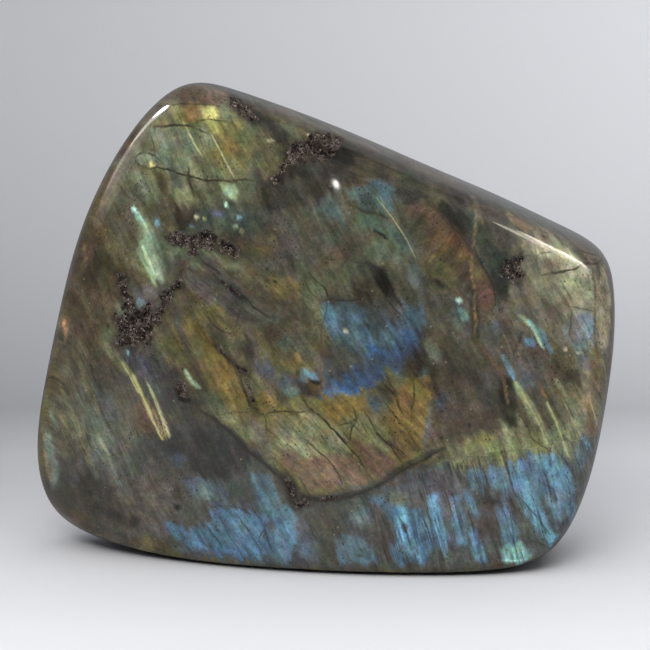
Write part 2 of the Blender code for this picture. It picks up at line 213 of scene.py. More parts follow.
# The front face, back to front: a patch has a middle, a half length, a half width and a turn; a panel
# has its corners; a streak has its line and its width. The last number is how fully it covers.
FACE = [
    # broad soft tones under everything
    ("panel", FERN, [(-52.7, 104.2), (-42.1, 117.3), (-31.5, 119.3), (-15.5, 113.5), (-16.5, 100.2),
        (-22.1, 86.6), (-32.4, 79.9), (-44.3, 79.5), (-54.4, 78.9), (-57.9, 90.2)], 0.75),
    ("panel", STONE_GREY, [(-15.5, 99.4), (-5.8, 104.5), (5.7, 103.3), (24.8, 98.2), (26.0, 85.9),
        (22.2, 70.9), (4.4, 70.9), (-9.6, 70.7), (-15.5, 83.2)], 0.7),
    ("panel", BODY, [(17.2, 104.3), (38.0, 97.2), (45.2, 88.2), (50.2, 80.2), (45.1, 67.8), (37.5, 60.8),
        (27.3, 65.9), (26.0, 78.4), (19.6, 88.4)], 0.6),
    ("panel", TAUPE, [(46.4, 86.9), (60.7, 84.0), (71.3, 79.3), (73.3, 69.8), (71.9, 57.3), (60.6, 59.2),
        (50.2, 63.2), (45.9, 70.8)], 0.75),
    ("panel", WALNUT, [(27.3, 63.4), (40.0, 65.8), (46.4, 55.7), (47.2, 40.5), (37.5, 35.6), (29.9, 38.2),
        (26.8, 50.9)], 0.7),
    ("panel", OLIVE, [(59.3, 59.2), (72.2, 59.8), (73.3, 44.9), (70.4, 36.2), (64.7, 32.2), (60.6, 45.2)],
        0.7),
    ("panel", FERN, [(47.7, 49.4), (56.7, 51.7), (64.6, 39.9), (68.2, 31.2), (55.5, 32.1), (40.1, 32.5),
        (45.2, 38.0)], 0.65),
    ("panel", STEEL_BLUE, [(14.6, 24.2), (29.9, 30.1), (45.2, 29.9), (60.7, 31.9), (71.1, 34.6),
        (68.9, 21.2), (64.1, 9.9), (53.9, 5.6), (14.7, 3.1)], 0.85),
    ("panel", SLATE_BLUE, [(-17.4, 26.7), (-9.7, 20.3), (1.8, 18.8), (15.9, 21.6), (15.9, 3.1),
        (-16.3, 1.3), (-20.0, 13.9)], 0.7),
    ("panel", STEEL_BLUE, [(-42.4, 12.8), (-31.7, 17.2), (-18.7, 19.3), (-9.7, 14.5), (-8.5, 2.1),
        (-32.0, 1.7), (-41.2, 5.2)], 0.75),
    ("panel", MUSTARD, [(-30.1, 58.9), (-21.2, 49.0), (-15.5, 44.1), (-0.7, 46.2), (15.8, 50.9),
        (27.3, 52.1), (27.3, 35.7), (18.4, 30.1), (13.3, 24.9), (3.1, 22.2), (-5.1, 22.0), (-13.5, 29.5),
        (-25.8, 39.9), (-31.5, 50.0)], 0.85),
    ("panel", OLIVE, [(-36.6, 65.6), (-30.1, 70.3), (-21.1, 65.5), (-18.6, 55.4), (-15.5, 44.1),
        (-25.8, 39.9), (-32.8, 48.6)], 0.7),
    ("panel", STEEL_BLUE, [(-1.2, 70.8), (10.7, 71.4), (26.0, 70.9), (26.0, 58.4), (18.4, 52.1),
        (6.9, 46.8), (-1.2, 46.1), (1.8, 58.3)], 0.6),
    ("panel", STONE_GREY, [(-68.9, 59.8), (-54.9, 64.3), (-41.8, 57.3), (-38.9, 34.1), (-44.9, 17.6),
        (-63.8, 18.4), (-73.6, 27.4)], 0.6),
    ("panel", ASH, [(-49.6, 79.3), (-37.9, 81.5), (-34.0, 70.2), (-40.5, 58.6), (-51.0, 56.8),
        (-54.9, 69.3)], 0.5),
    ("panel", ASH, [(-72.3, 22.2), (-55.2, 33.0), (-39.4, 36.7), (-31.5, 42.2), (-16.1, 32.5), (-5.8, 19.9),
        (14.6, 22.9), (37.5, 31.8), (71.8, 35.8), (71.4, 21.2), (60.3, 2.3), (-5.8, 2.3), (-59.2, 7.1),
        (-71.9, 17.4)], 0.85),
    ("panel", SAND, [(48.2, 85.7), (54.5, 86.9), (60.7, 83.8), (70.0, 78.6), (72.7, 69.9), (72.2, 57.2),
        (63.2, 57.3), (52.8, 63.1), (46.6, 67.8), (47.7, 78.3)], 0.85),
    ("patch", SAND, (68.0, 46.9), 5, 14, -8, 0.6),
    ("patch", PALE_WILLOW, (47.8, 33.4), 17, 4.6, 6, 0.75),
    ("patch", LICHEN, (-55.7, 35.6), 8, 15, 18, 0.4),
    # the body's broad changes
    ("patch", TAUPE, (50.2, 73.2), 20, 22, 0, 0.7),
    ("patch", BROWN, (-59.9, 77.6), 11, 24, 12, 0.75),
    ("patch", BODY, (-5.8, 83.3), 26, 16, -20, 0.6),
    ("patch", MOSS, (13.3, 82.2), 18, 9, -30, 0.5),
    ("patch", STONE_GREY, (-5.8, 65.8), 16, 9, -20, 0.5),
    ("patch", DARK_OLIVE, (34.4, 53.8), 10, 8, 10, 0.85),
    ("patch", STONE_GREY, (33.6, 64.6), 12, 9, 0, 0.6),
    ("patch", TAUPE, (33.7, 41.2), 9, 9, 0, 0.7),
    ("patch", LILAC_GREY, (29.9, 24.2), 16, 5, 10, 0.7),
    ("patch", CHARCOAL, (-36.7, 38.1), 8, 14, -20, 0.75),
    ("patch", DARK_OLIVE, (-60.6, 16.0), 12, 7, -20, 0.8),
    ("patch", TAUPE, (-47.6, 14.5), 14, 9, 20, 0.6),
    ("patch", STONE_GREY, (54.1, 58.1), 14, 14, 0, 0.5),
    ("patch", SLATE, (-44.5, 50.7), 9, 6, -50, 0.7),
    ("patch", SLATE, (-27.3, 74.2), 9, 4, -35, 0.6),
    # the cap over the apex and the band under it
    ("panel", TAUPE, [(-42.8, 118.6), (-36.6, 124.7), (-31.9, 123.9), (-25.5, 123.1), (-20.6, 121.1),
        (-22.3, 119.1), (-25.8, 118.6), (-31.5, 119.0), (-36.3, 119.1), (-39.5, 118.4)], 0.9),
    ("patch", BROWN, (-35.0, 121.3), 3.0, 2.6, 0, 0.7),
    ("patch", PINK, (-28.2, 121.0), 3.4, 2.4, -10, 0.6),
    ("panel", MUSTARD, [(-40.0, 118.2), (-36.3, 118.9), (-32.6, 119.0), (-28.9, 118.8), (-25.3, 118.4),
        (-25.3, 115.7), (-29.4, 115.6), (-32.5, 114.6), (-35.4, 114.0), (-39.3, 114.1), (-43.1, 113.1),
        (-44.7, 113.5)], 0.9),
    ("panel", COPPER, [(-36.0, 118.9), (-32.1, 119.0), (-31.7, 116.1), (-33.0, 114.1), (-35.4, 114.3)], 0.85),
    ("panel", LEMON, [(-30.7, 118.8), (-27.6, 118.6), (-26.8, 115.7), (-29.9, 115.6)], 0.9),
    ("patch", SAGE, (-25.6, 117.2), 1.3, 1.7, 0, 0.8),
    # the pale green panel
    ("panel", SAGE, [(-44.7, 112.3), (-40.6, 113.0), (-36.7, 113.7), (-33.5, 113.3), (-29.6, 112.2),
        (-27.3, 110.5), (-24.7, 105.5), (-22.4, 100.8), (-25.7, 100.3), (-30.1, 100.5), (-34.0, 101.4),
        (-38.7, 102.5), (-41.8, 103.4), (-42.4, 105.6), (-44.0, 107.9), (-45.2, 110.3)], 0.95),
    ("streak", LICHEN, [(-42.5, 112.2), (-41.1, 108.1), (-39.5, 104.0)], 2.4, 0.7),
    ("patch", KHAKI, (-28.3, 105.0), 5, 3, -50, 0.7),
    ("patch", LICHEN, (-36.1, 110.3), 2.6, 4.0, 15, 0.5),
    ("panel", YELLOW_GREEN, [(-29.7, 115.1), (-24.8, 115.0), (-23.7, 113.0), (-25.8, 111.5), (-28.4, 112.0)],
        0.8),
    ("panel", MUSTARD, [(-25.8, 114.5), (-21.2, 114.5), (-18.1, 111.6), (-17.6, 107.6), (-20.1, 104.6),
        (-23.7, 104.6), (-25.8, 108.0), (-27.1, 111.0)], 0.85),
    ("patch", COPPER, (-23.5, 108.8), 2.4, 1.6, 0, 0.8),
    ("patch", GOLD, (-26.8, 106.0), 2.6, 1.8, -60, 0.7),
    ("patch", MOSS, (-18.6, 112.1), 2.2, 3.0, 0, 0.8),
    ("panel", LICHEN, [(-48.9, 105.3), (-47.2, 106.4), (-44.0, 106.9), (-42.4, 106.5), (-41.6, 104.9),
        (-42.4, 103.3), (-44.5, 103.0), (-46.9, 103.8)], 0.85),
    ("patch", LEMON, (-44.0, 103.7), 0.8, 1.1, 0, 0.9),
    ("panel", SAGE, [(-48.8, 103.1), (-46.6, 102.8), (-43.9, 102.3), (-42.3, 99.6), (-41.8, 95.1),
        (-44.4, 93.5), (-47.0, 95.4), (-49.0, 98.7)], 0.8),
    ("streak", LICHEN, [(-47.7, 101.8), (-46.3, 98.4), (-44.7, 95.0)], 1.5, 0.6),
    ("panel", UMBER, [(-43.9, 102.5), (-41.8, 102.1), (-40.5, 100.2), (-40.2, 96.7), (-41.8, 97.4),
        (-42.9, 100.1)], 0.85),
    ("patch", TEAL, (-37.9, 98.8), 1.6, 3.6, 10, 0.7),
    ("panel", PALE_WILLOW, [(-37.1, 98.3), (-35.0, 99.1), (-33.5, 97.9), (-32.4, 95.4), (-32.2, 93.9),
        (-34.5, 93.6), (-36.6, 94.6), (-37.9, 96.0)], 0.85),
    ("streak", SEAL_BROWN, [(-34.8, 101.4), (-33.7, 98.9), (-32.9, 96.2)], 0.8, 0.9),
    ("panel", PISTACHIO, [(-25.7, 100.0), (-21.9, 100.1), (-21.4, 98.1), (-22.4, 95.6), (-24.7, 95.6),
        (-25.7, 98.0)], 0.85),
    ("patch", MINT, (-24.2, 97.6), 1.2, 1.6, 0, 0.8),
    ("patch", MOSS, (-29.3, 98.0), 3.4, 2.2, 0, 0.8),
    # the left shoulder under the panel
    ("patch", TAUPE, (-51.8, 90.8), 4.0, 8.0, 10, 0.7),
    ("streak", PALE_CYAN, [(-48.9, 93.0), (-48.3, 91.8)], 1.2, 0.9),
    ("streak", CYAN, [(-48.6, 92.3), (-47.5, 90.9), (-45.7, 88.7)], 1.3, 0.9),
    ("streak", LICHEN, [(-46.5, 89.5), (-44.9, 86.0), (-43.8, 82.0)], 1.8, 0.8),
    ("patch", ICE_BLUE, (-42.3, 89.6), 0.8, 0.8, 0, 0.9),
    ("patch", STONE_GREY, (-41.7, 85.1), 3.0, 5.0, 0, 0.6),
    ("panel", UMBER, [(-37.6, 94.5), (-34.5, 94.1), (-31.9, 93.4), (-32.4, 89.9), (-35.3, 87.3),
        (-37.6, 87.0), (-38.1, 90.3)], 0.85),
    ("patch", DARK_TEAL, (-24.2, 91.1), 8.5, 4.0, 0, 0.7),
    ("patch", PALE_LEMON, (-32.4, 91.2), 0.65, 0.55, 0, 1.0),
    ("patch", YELLOW_GREEN, (-30.4, 90.7), 0.45, 0.4, 0, 0.9),
    ("patch", VIOLET, (-27.0, 92.0), 1.4, 0.8, 0, 0.85),
    ("patch", PALE_CYAN, (-24.7, 94.3), 0.45, 0.45, 0, 0.9),
    ("patch", CYAN, (-21.6, 91.3), 0.6, 0.5, 0, 0.9),
    ("patch", PALE_BLUE, (-33.7, 88.9), 0.6, 0.5, 0, 0.8),
    ("patch", STRAW_GREEN, (-20.6, 87.9), 0.55, 0.5, 0, 0.9),
    ("patch", PALE_SAGE, (-22.4, 89.1), 0.6, 0.5, 0, 0.8),
    # under the long top edge
    ("patch", OLIVE, (-5.8, 113.5), 12, 3.2, -24, 0.8),
    ("panel", WALNUT, [(-24.5, 122.0), (-21.4, 121.2), (-18.2, 119.2), (-16.3, 117.2), (-18.6, 115.3),
        (-21.2, 116.5), (-23.3, 118.4)], 0.9),
    ("patch", FERN, (-8.1, 113.8), 1.8, 2.6, 0, 0.8),
    ("panel", CHARCOAL, [(-17.1, 116.9), (-13.5, 116.4), (-11.5, 114.5), (-8.9, 111.6), (-9.9, 109.9),
        (-13.0, 110.9), (-15.5, 112.8), (-17.6, 115.0)], 0.85),
    ("patch", OLIVE, (-15.5, 108.1), 4.5, 4.2, 0, 0.75),
    ("streak", CREAM, [(-14.2, 110.4), (-12.5, 110.6)], 0.35, 0.8),
    ("patch", INK_GREEN, (-7.1, 103.2), 4.6, 2.2, 10, 0.85),
    ("panel", SOOT, [(3.4, 110.9), (7.0, 110.4), (11.6, 108.3), (14.2, 107.3), (13.6, 106.0), (8.0, 106.2),
        (5.9, 104.0), (3.4, 103.8), (2.3, 106.2), (1.8, 108.6)], 0.92),
    ("patch", DARK_OLIVE, (17.2, 104.7), 6.0, 2.2, -24, 0.7),
    ("patch", WALNUT, (-2.8, 100.0), 6.5, 3.6, -20, 0.7),
    ("patch", TEAL, (2.6, 93.8), 3.2, 3.6, 0, 0.65),
    ("panel", TEAL, [(5.4, 99.1), (9.5, 99.6), (13.3, 100.3), (17.6, 98.3), (19.4, 95.3), (17.6, 92.9),
        (14.0, 92.9), (10.0, 93.9), (6.9, 95.8)], 0.8),
    ("patch", STEEL_BLUE, (15.3, 99.1), 2.4, 1.8, -30, 0.8),
    ("panel", SEA_GREEN, [(8.4, 92.9), (12.0, 92.4), (15.8, 91.4), (18.6, 89.4), (20.1, 86.9), (17.1, 85.9),
        (13.3, 87.9), (10.0, 89.9)], 0.8),
    ("streak", INK_GREEN, [(5.4, 96.8), (7.4, 94.6), (10.0, 93.1), (13.3, 92.6), (16.6, 91.6)], 0.55, 0.85),
    ("patch", SOOT, (15.3, 87.2), 1.4, 0.45, -30, 0.9),
    ("patch", SOOT, (13.3, 88.2), 0.6, 0.4, -30, 0.9),
    ("panel", BODY, [(18.1, 97.8), (22.7, 99.2), (26.8, 96.7), (26.7, 86.9), (23.7, 84.9), (20.6, 87.9),
        (18.6, 92.4)], 0.8),
    ("patch", BROWN, (-17.3, 84.7), 8.0, 3.2, 0, 0.7),
    ("patch", ASH, (-9.1, 84.5), 3.0, 3.0, 0, 0.6),
    ("patch", BODY, (1.8, 86.4), 5.5, 4.0, 0, 0.6),
    ("streak", WALNUT, [(-16.7, 118.7), (-5.8, 114.4), (9.5, 108.2), (24.9, 102.0), (40.4, 95.6),
        (53.2, 89.7)], 2.6, 0.6),
    # the dark lens, the bronze lens and what lies round them
    ("patch", BODY, (26.1, 99.1), 7.0, 3.2, -24, 0.8),
    ("patch", CHARCOAL, (34.6, 97.1), 4.8, 1.8, -24, 0.8),
    ("panel", TAUPE, [(39.1, 94.5), (43.3, 93.2), (46.9, 91.6), (48.0, 88.6), (46.7, 85.2), (43.3, 85.8),
        (41.1, 88.8), (39.3, 91.2)], 0.85),
    ("patch", STONE_GREY, (49.3, 86.2), 4.2, 4.2, 0, 0.7),
    ("panel", INK_GREEN, [(28.8, 93.8), (31.1, 95.5), (33.9, 94.7), (36.0, 92.7), (38.0, 88.8),
        (38.5, 85.1), (35.9, 86.3), (33.4, 88.8), (30.8, 91.3)], 0.92),
    ("panel", DARK_TEAL, [(36.0, 93.5), (38.5, 92.2), (41.1, 88.8), (43.6, 85.0), (46.4, 81.5),
        (47.4, 77.0), (46.4, 72.8), (44.9, 69.3), (43.6, 71.3), (42.5, 74.8), (40.0, 78.4), (38.5, 81.9),
        (37.5, 86.8)], 0.9),
    ("patch", MOSS, (40.3, 87.8), 1.8, 2.8, 20, 0.8),
    ("patch", INK_GREEN, (44.3, 75.1), 2.2, 4.4, 12, 0.75),
    ("panel", BROWN, [(20.7, 96.8), (24.7, 94.6), (28.5, 92.6), (32.4, 90.1), (35.4, 86.6), (38.0, 83.4),
        (40.0, 79.6), (42.0, 76.6), (43.6, 73.6), (43.6, 69.8), (41.3, 67.8), (38.5, 70.4), (36.4, 74.1),
        (33.9, 77.9), (29.8, 80.2), (26.0, 83.2), (23.2, 86.4), (21.4, 90.4)], 0.85),
    ("patch", ROSE, (28.3, 91.1), 4.2, 2.0, -38, 0.7),
    ("patch", TAWNY, (34.1, 83.9), 4.6, 2.6, -40, 0.7),
    ("patch", BODY, (23.7, 87.9), 2.6, 4.2, 0, 0.75),
    ("panel", OLIVE, [(23.2, 82.2), (27.3, 81.7), (31.8, 79.7), (34.6, 77.2), (33.9, 74.4), (29.8, 75.2),
        (26.0, 76.9), (23.2, 78.9)], 0.85),
    ("panel", ROSE, [(39.0, 75.1), (41.5, 75.8), (43.3, 73.3), (43.6, 70.1), (41.5, 68.1), (39.7, 69.6)],
        0.85),
    ("panel", MUSTARD, [(37.2, 80.6), (39.0, 79.4), (41.0, 76.8), (41.5, 75.1), (39.5, 75.4), (37.7, 77.9)],
        0.8),
    ("patch", WALNUT, (36.4, 75.1), 1.8, 3.0, 0, 0.6),
    ("patch", OLIVE, (29.8, 83.4), 3.6, 1.8, -30, 0.6),
    ("panel", SOOT, [(28.0, 76.2), (29.3, 76.2), (31.3, 74.7), (32.3, 73.4), (30.3, 73.7), (28.8, 74.7)],
        0.9),
    ("patch", SPRUCE, (23.7, 75.9), 2.0, 3.0, 10, 0.7),
    ("patch", SEA_GREEN, (20.4, 82.9), 3.2, 2.8, 0, 0.7),
    ("patch", PALE_CYAN, (34.6, 70.9), 0.7, 0.7, 0, 0.9),
    ("patch", CYAN, (35.7, 67.1), 0.8, 1.8, 15, 0.75),
    ("patch", TEAL, (34.9, 66.4), 1.8, 3.6, 20, 0.6),
    # the pale plateau and the right shoulder
    ("panel", TAUPE, [(47.7, 84.2), (52.9, 86.5), (60.6, 82.9), (65.2, 78.4), (61.0, 74.0), (62.1, 67.5),
        (56.7, 63.1), (50.8, 63.7), (46.6, 67.8), (45.1, 71.6), (48.2, 74.3), (51.8, 78.2)], 0.45),
    # painted highlight: a pale willow patch laid where the shoulder's highlight falls
    ("panel", WILLOW, [(54.5, 86.5), (59.6, 84.3), (65.3, 80.8), (67.9, 78.3), (63.1, 78.5), (58.5, 80.1),
        (55.4, 83.1)], 0.7),
    ("panel", REED, [(60.6, 79.8), (65.2, 78.9), (68.1, 77.3), (69.2, 73.2), (69.2, 69.4), (65.7, 69.1),
        (62.6, 70.7), (60.5, 74.5)], 0.85),
    ("patch", TAWNY, (62.3, 70.5), 1.4, 2.0, 10, 0.75),
    ("patch", PALE_BLUE, (66.3, 63.0), 3.0, 5.6, 0, 0.6),
    ("patch", LAKE_BLUE, (67.9, 64.2), 1.2, 3.6, 0, 0.5),
    ("streak", SAND, [(72.0, 77.4), (72.7, 69.9), (72.5, 62.3), (71.9, 56.7)], 3.0, 0.7),
    ("streak", BROWN, [(68.9, 78.2), (69.6, 74.0), (69.7, 67.6), (69.5, 61.3), (70.3, 56.9)], 0.55, 0.8),
    ("patch", FAWN, (49.6, 89.7), 3.0, 1.0, -35, 0.7),
    ("streak", PALE_WILLOW, [(50.0, 67.0), (51.3, 65.9), (52.6, 64.4)], 1.0, 0.85),
    ("streak", CYAN, [(52.3, 65.7), (53.8, 63.9), (55.1, 61.3), (56.4, 58.5)], 1.1, 0.9),
    ("streak", PALE_CYAN, [(53.1, 64.4), (54.4, 61.9), (55.9, 58.8)], 0.45, 0.8),
    ("streak", LAKE_BLUE, [(55.4, 63.4), (56.9, 60.3), (58.5, 57.5)], 1.5, 0.75),
    # the rusty vein
    ("streak", DARK_OLIVE, [(38.5, 72.9), (38.7, 65.9), (39.0, 60.3)], 2.4, 0.8),
    ("streak", FAWN, [(38.8, 96.1), (39.1, 92.7), (38.7, 87.8), (38.0, 82.9)], 0.45, 0.8),
    ("streak", FAWN, [(38.0, 82.9), (37.7, 77.9), (38.7, 72.9)], 0.5, 0.8),
    ("streak", FAWN, [(38.7, 72.9), (38.5, 69.6), (39.0, 65.4), (38.7, 61.3)], 0.5, 0.7),
    ("streak", TAWNY, [(38.7, 61.3), (40.0, 59.3), (42.1, 56.8), (44.1, 54.2), (45.7, 51.7)], 0.7, 0.9),
    ("panel", SEAL_BROWN, [(44.9, 49.2), (47.2, 51.2), (48.7, 49.6), (49.5, 45.5), (49.6, 38.9),
        (47.8, 37.7), (46.0, 40.5), (44.9, 44.4)], 0.88),
    ("streak", FAWN, [(45.9, 51.2), (46.7, 47.6), (47.2, 44.6)], 0.45, 0.85),
    # the left part
    ("patch", DARK_OLIVE, (-57.9, 76.1), 5.0, 4.2, 0, 0.8),
    ("streak", FAWN, [(-62.3, 82.0), (-61.9, 79.6), (-61.6, 77.2)], 0.7, 0.6),
    ("patch", FERN, (-41.0, 79.6), 2.6, 7.0, -8, 0.75),
    ("panel", PALE_SAGE, [(-47.2, 85.4), (-45.1, 85.5), (-43.6, 82.6), (-42.5, 79.1), (-41.7, 75.6),
        (-42.5, 73.0), (-44.4, 74.7), (-45.7, 77.9), (-47.5, 80.9)], 0.85),
    ("streak", MINT_WHITE, [(-46.2, 83.2), (-45.4, 80.7), (-44.1, 78.0), (-43.0, 75.3)], 0.8, 0.85),
    ("streak", DARK_TEAL, [(-45.9, 84.0), (-44.3, 80.5), (-42.8, 77.0)], 0.28, 0.7),
    ("panel", KHAKI, [(-48.8, 80.8), (-47.2, 80.4), (-45.7, 77.9), (-45.4, 75.9), (-47.2, 76.9),
        (-48.8, 78.8)], 0.8),
    ("patch", LILAC_GREY, (-44.6, 69.9), 3.0, 3.2, 0, 0.75),
    ("patch", PALE_BLUE, (-46.5, 68.8), 1.3, 0.8, -10, 0.75),
    ("patch", SAGE, (-52.0, 66.0), 1.5, 1.9, 0, 0.8),
    ("patch", WALNUT, (-44.4, 65.8), 3.6, 1.8, 0, 0.7),
    ("patch", FERN, (-56.0, 60.3), 3.2, 2.8, -50, 0.75),
    ("streak", APRICOT, [(-68.0, 62.0), (-67.1, 59.9), (-67.4, 57.9)], 0.9, 0.85),
    ("streak", WALNUT, [(-66.6, 65.3), (-62.6, 59.7), (-58.7, 53.2)], 2.2, 0.7),
    ("streak", TAUPE, [(-68.9, 57.3), (-66.0, 52.8), (-63.7, 46.7)], 2.0, 0.7),
    ("patch", DARK_OLIVE, (-57.2, 49.2), 2.6, 4.0, 25, 0.75),
    ("streak", KHAKI, [(-56.5, 58.5), (-53.1, 54.1), (-51.0, 51.2)], 2.4, 0.8),
    ("streak", LIME, [(-51.8, 53.7), (-49.2, 50.2), (-47.6, 46.2)], 1.3, 0.85),
    ("streak", MUSTARD, [(-62.6, 49.7), (-60.2, 45.3), (-57.8, 40.2)], 1.6, 0.75),
    ("streak", DARK_OLIVE, [(-61.8, 49.2), (-59.4, 44.8), (-57.5, 40.3), (-55.7, 36.2)], 0.35, 0.7),
    ("patch", SLATE_BLUE, (-46.5, 53.2), 3.4, 2.6, -50, 0.5),
    ("patch", CYAN, (-50.2, 55.9), 0.4, 0.7, 0, 0.8),
    ("patch", CHARCOAL, (-39.3, 49.2), 2.8, 5.0, 20, 0.7),
    ("streak", SOOT, [(-44.2, 55.6), (-42.3, 53.9)], 0.5, 0.85),
    ("streak", MINT, [(-35.3, 52.1), (-33.8, 49.6), (-31.7, 47.9)], 1.1, 0.85),
    # the lower left, streaked
    ("patch", TAWNY, (-45.1, 39.5), 3.6, 4.6, 25, 0.8),
    ("streak", LEMON, [(-48.7, 50.3), (-46.3, 44.7), (-44.0, 39.3), (-41.5, 34.2)], 0.75, 0.92),
    ("streak", CREAM, [(-45.0, 48.6), (-42.9, 43.8), (-41.2, 39.2), (-39.6, 35.1)], 0.60, 0.92),
    ("streak", APRICOT, [(-43.7, 42.2), (-42.2, 38.1), (-40.7, 34.5)], 0.55, 0.85),
    ("streak", BROWN, [(-45.5, 46.8), (-43.5, 41.7), (-41.2, 36.1)], 0.22, 0.7),
    ("streak", LICHEN, [(-71.9, 38.1), (-70.7, 35.7), (-69.9, 33.2)], 1.5, 0.8),
    ("panel", LICHEN, [(-73.8, 32.8), (-72.0, 33.2), (-70.9, 28.6), (-69.6, 22.9), (-70.4, 17.6),
        (-72.6, 15.7), (-73.8, 21.2), (-74.2, 27.2)], 0.85),
    ("streak", FAWN, [(-73.9, 26.8), (-73.2, 23.1), (-72.4, 19.3)], 1.3, 0.75),
    ("patch", BROWN, (-70.4, 39.7), 1.4, 3.4, 15, 0.7),
    ("streak", KHAKI, [(-68.9, 46.1), (-66.0, 39.8), (-63.6, 33.2), (-60.8, 26.0)], 2.0, 0.8),
    ("streak", SAGE, [(-63.8, 43.8), (-60.0, 37.9), (-56.9, 31.8), (-54.3, 25.5)], 2.8, 0.75),
    ("patch", BROWN, (-65.2, 27.9), 2.2, 3.4, 25, 0.6),
    ("patch", LILAC_GREY, (-55.1, 41.5), 2.4, 4.6, 25, 0.7),
    ("streak", UMBER, [(-58.3, 42.8), (-56.5, 38.2), (-54.2, 33.9)], 0.35, 0.8),
    ("patch", TAUPE, (-52.1, 31.7), 3.4, 4.0, 20, 0.75),
    ("patch", SAGE, (-48.2, 25.0), 2.4, 1.8, -30, 0.7),
    ("patch", TAUPE, (-45.6, 20.3), 3.4, 2.4, 0, 0.7),
    ("patch", INK_GREEN, (-59.6, 18.9), 4.6, 2.6, -20, 0.75),
    ("patch", CHARCOAL, (-56.3, 13.0), 5.0, 2.2, -12, 0.75),
    ("patch", SEAL_BROWN, (-49.6, 10.6), 2.0, 1.8, 40, 0.75),
    ("patch", SLATE, (-65.1, 21.0), 1.6, 1.4, 0, 0.7),
    ("patch", BODY, (-55.6, 18.8), 2.2, 2.8, 0, 0.5),
    ("streak", UMBER, [(-36.9, 45.1), (-34.1, 44.2), (-30.7, 44.1)], 1.6, 0.8),
    ("patch", SLATE_BLUE, (-37.3, 28.9), 2.0, 1.6, 0, 0.6),
    ("patch", DARK_OLIVE, (-37.5, 20.3), 1.4, 2.6, 0, 0.75),
    ("patch", SOOT, (-37.5, 16.0), 1.0, 0.9, 20, 0.9),
    # the charcoal panel
    ("panel", CHARCOAL, [(-33.6, 35.1), (-30.8, 39.7), (-27.6, 40.3), (-24.8, 38.4), (-21.2, 34.9),
        (-18.1, 30.9), (-19.4, 27.7), (-22.3, 26.0), (-24.4, 24.3), (-28.5, 24.6), (-31.6, 24.5),
        (-34.2, 26.4), (-34.7, 31.7)], 0.95),
    ("patch", DARK_TEAL, (-20.8, 23.2), 4.0, 4.6, 0, 0.7),
    # the middle, over the kidney
    ("patch", OLIVE, (-17.8, 82.6), 3.6, 2.6, 0, 0.7),
    ("streak", FERN, [(-27.8, 82.0), (-22.4, 78.6), (-16.5, 72.6)], 2.8, 0.75),
    ("patch", MUSTARD, (-27.8, 66.6), 2.4, 2.8, -60, 0.75),
    ("streak", SOOT, [(-24.7, 74.2), (-22.4, 72.5), (-19.6, 70.6)], 0.75, 0.9),
    ("panel", GOLD, [(-15.8, 76.2), (-12.2, 76.5), (-8.4, 76.5), (-5.6, 74.8), (-6.1, 71.8), (-8.4, 70.8),
        (-11.4, 71.7), (-14.5, 73.2)], 0.6),
    ("patch", SOOT, (-12.2, 75.2), 0.5, 0.4, -30, 0.9),
    ("panel", FERN, [(-7.8, 82.3), (-4.5, 80.3), (-1.2, 77.1), (0.8, 74.6), (1.6, 70.9), (0.8, 67.1),
        (-1.2, 65.6), (-3.8, 67.6), (-5.3, 71.3), (-6.3, 75.8), (-7.8, 78.8)], 0.8),
    ("patch", BROWN, (2.6, 80.4), 3.4, 3.0, 0, 0.7),
    ("panel", FERN, [(0.8, 78.4), (4.9, 80.4), (8.4, 79.4), (10.5, 75.9), (8.9, 71.4), (4.4, 71.4),
        (1.8, 73.9)], 0.75),
    ("patch", SAGE, (15.0, 82.2), 5.4, 2.8, -22, 0.8),
    ("patch", LICHEN, (16.6, 81.9), 2.8, 1.4, -22, 0.6),
    ("patch", BROWN, (10.5, 72.9), 2.4, 4.6, -10, 0.75),
    ("patch", BODY, (17.1, 70.9), 4.2, 4.2, 0, 0.6),
    ("panel", SOOT, [(12.3, 76.2), (13.8, 79.2), (15.6, 78.9), (17.1, 76.2), (18.4, 73.0), (16.3, 72.4),
        (14.0, 74.4)], 0.88),
    # the blue heart
    ("panel", SEA_BLUE, [(-0.2, 69.3), (4.4, 70.4), (7.4, 70.2), (10.2, 69.4), (11.2, 67.2), (13.0, 64.7),
        (17.1, 64.4), (20.1, 65.9), (22.2, 68.7), (24.7, 69.4), (26.0, 65.9), (24.5, 62.2), (21.2, 58.4),
        (17.1, 57.2), (13.3, 57.9), (10.0, 58.4), (6.9, 58.6), (3.9, 60.1), (1.8, 63.1), (-0.2, 65.8)], 0.66),
    ("patch", LAKE_BLUE, (8.4, 66.4), 2.2, 1.7, -30, 0.58),
    ("patch", BLUE, (1.8, 65.4), 1.8, 2.2, 0, 0.55),
    ("patch", DARK_TEAL, (5.6, 64.9), 1.6, 1.6, 0, 0.58),
    ("patch", SEA_BLUE, (20.9, 67.9), 2.2, 2.2, -20, 0.58),
    ("patch", SEA_BLUE, (14.0, 61.7), 4.4, 1.8, 0, 0.58),
    ("patch", DEEP_BLUE, (22.2, 62.2), 3.4, 2.4, -20, 0.58),
    ("panel", DEEP_BLUE, [(12.0, 57.9), (15.8, 59.4), (19.1, 60.7), (22.2, 61.7), (25.2, 62.7),
        (23.7, 58.4), (20.9, 56.2), (17.6, 53.6), (14.0, 50.6), (10.0, 48.5), (5.7, 48.0), (1.8, 46.7),
        (-0.7, 46.7), (0.6, 49.2), (5.7, 51.0), (7.4, 54.3), (10.0, 56.4)], 0.66),
    ("patch", BRIGHT_BLUE, (14.5, 58.4), 2.8, 1.3, 20, 0.58),
    ("patch", BRIGHT_BLUE, (6.9, 49.0), 3.8, 0.9, 8, 0.62),
    ("patch", LAKE_BLUE, (1.8, 48.0), 2.4, 1.2, 10, 0.55),
    ("patch", BODY, (3.1, 55.3), 4.4, 3.0, 10, 0.62),
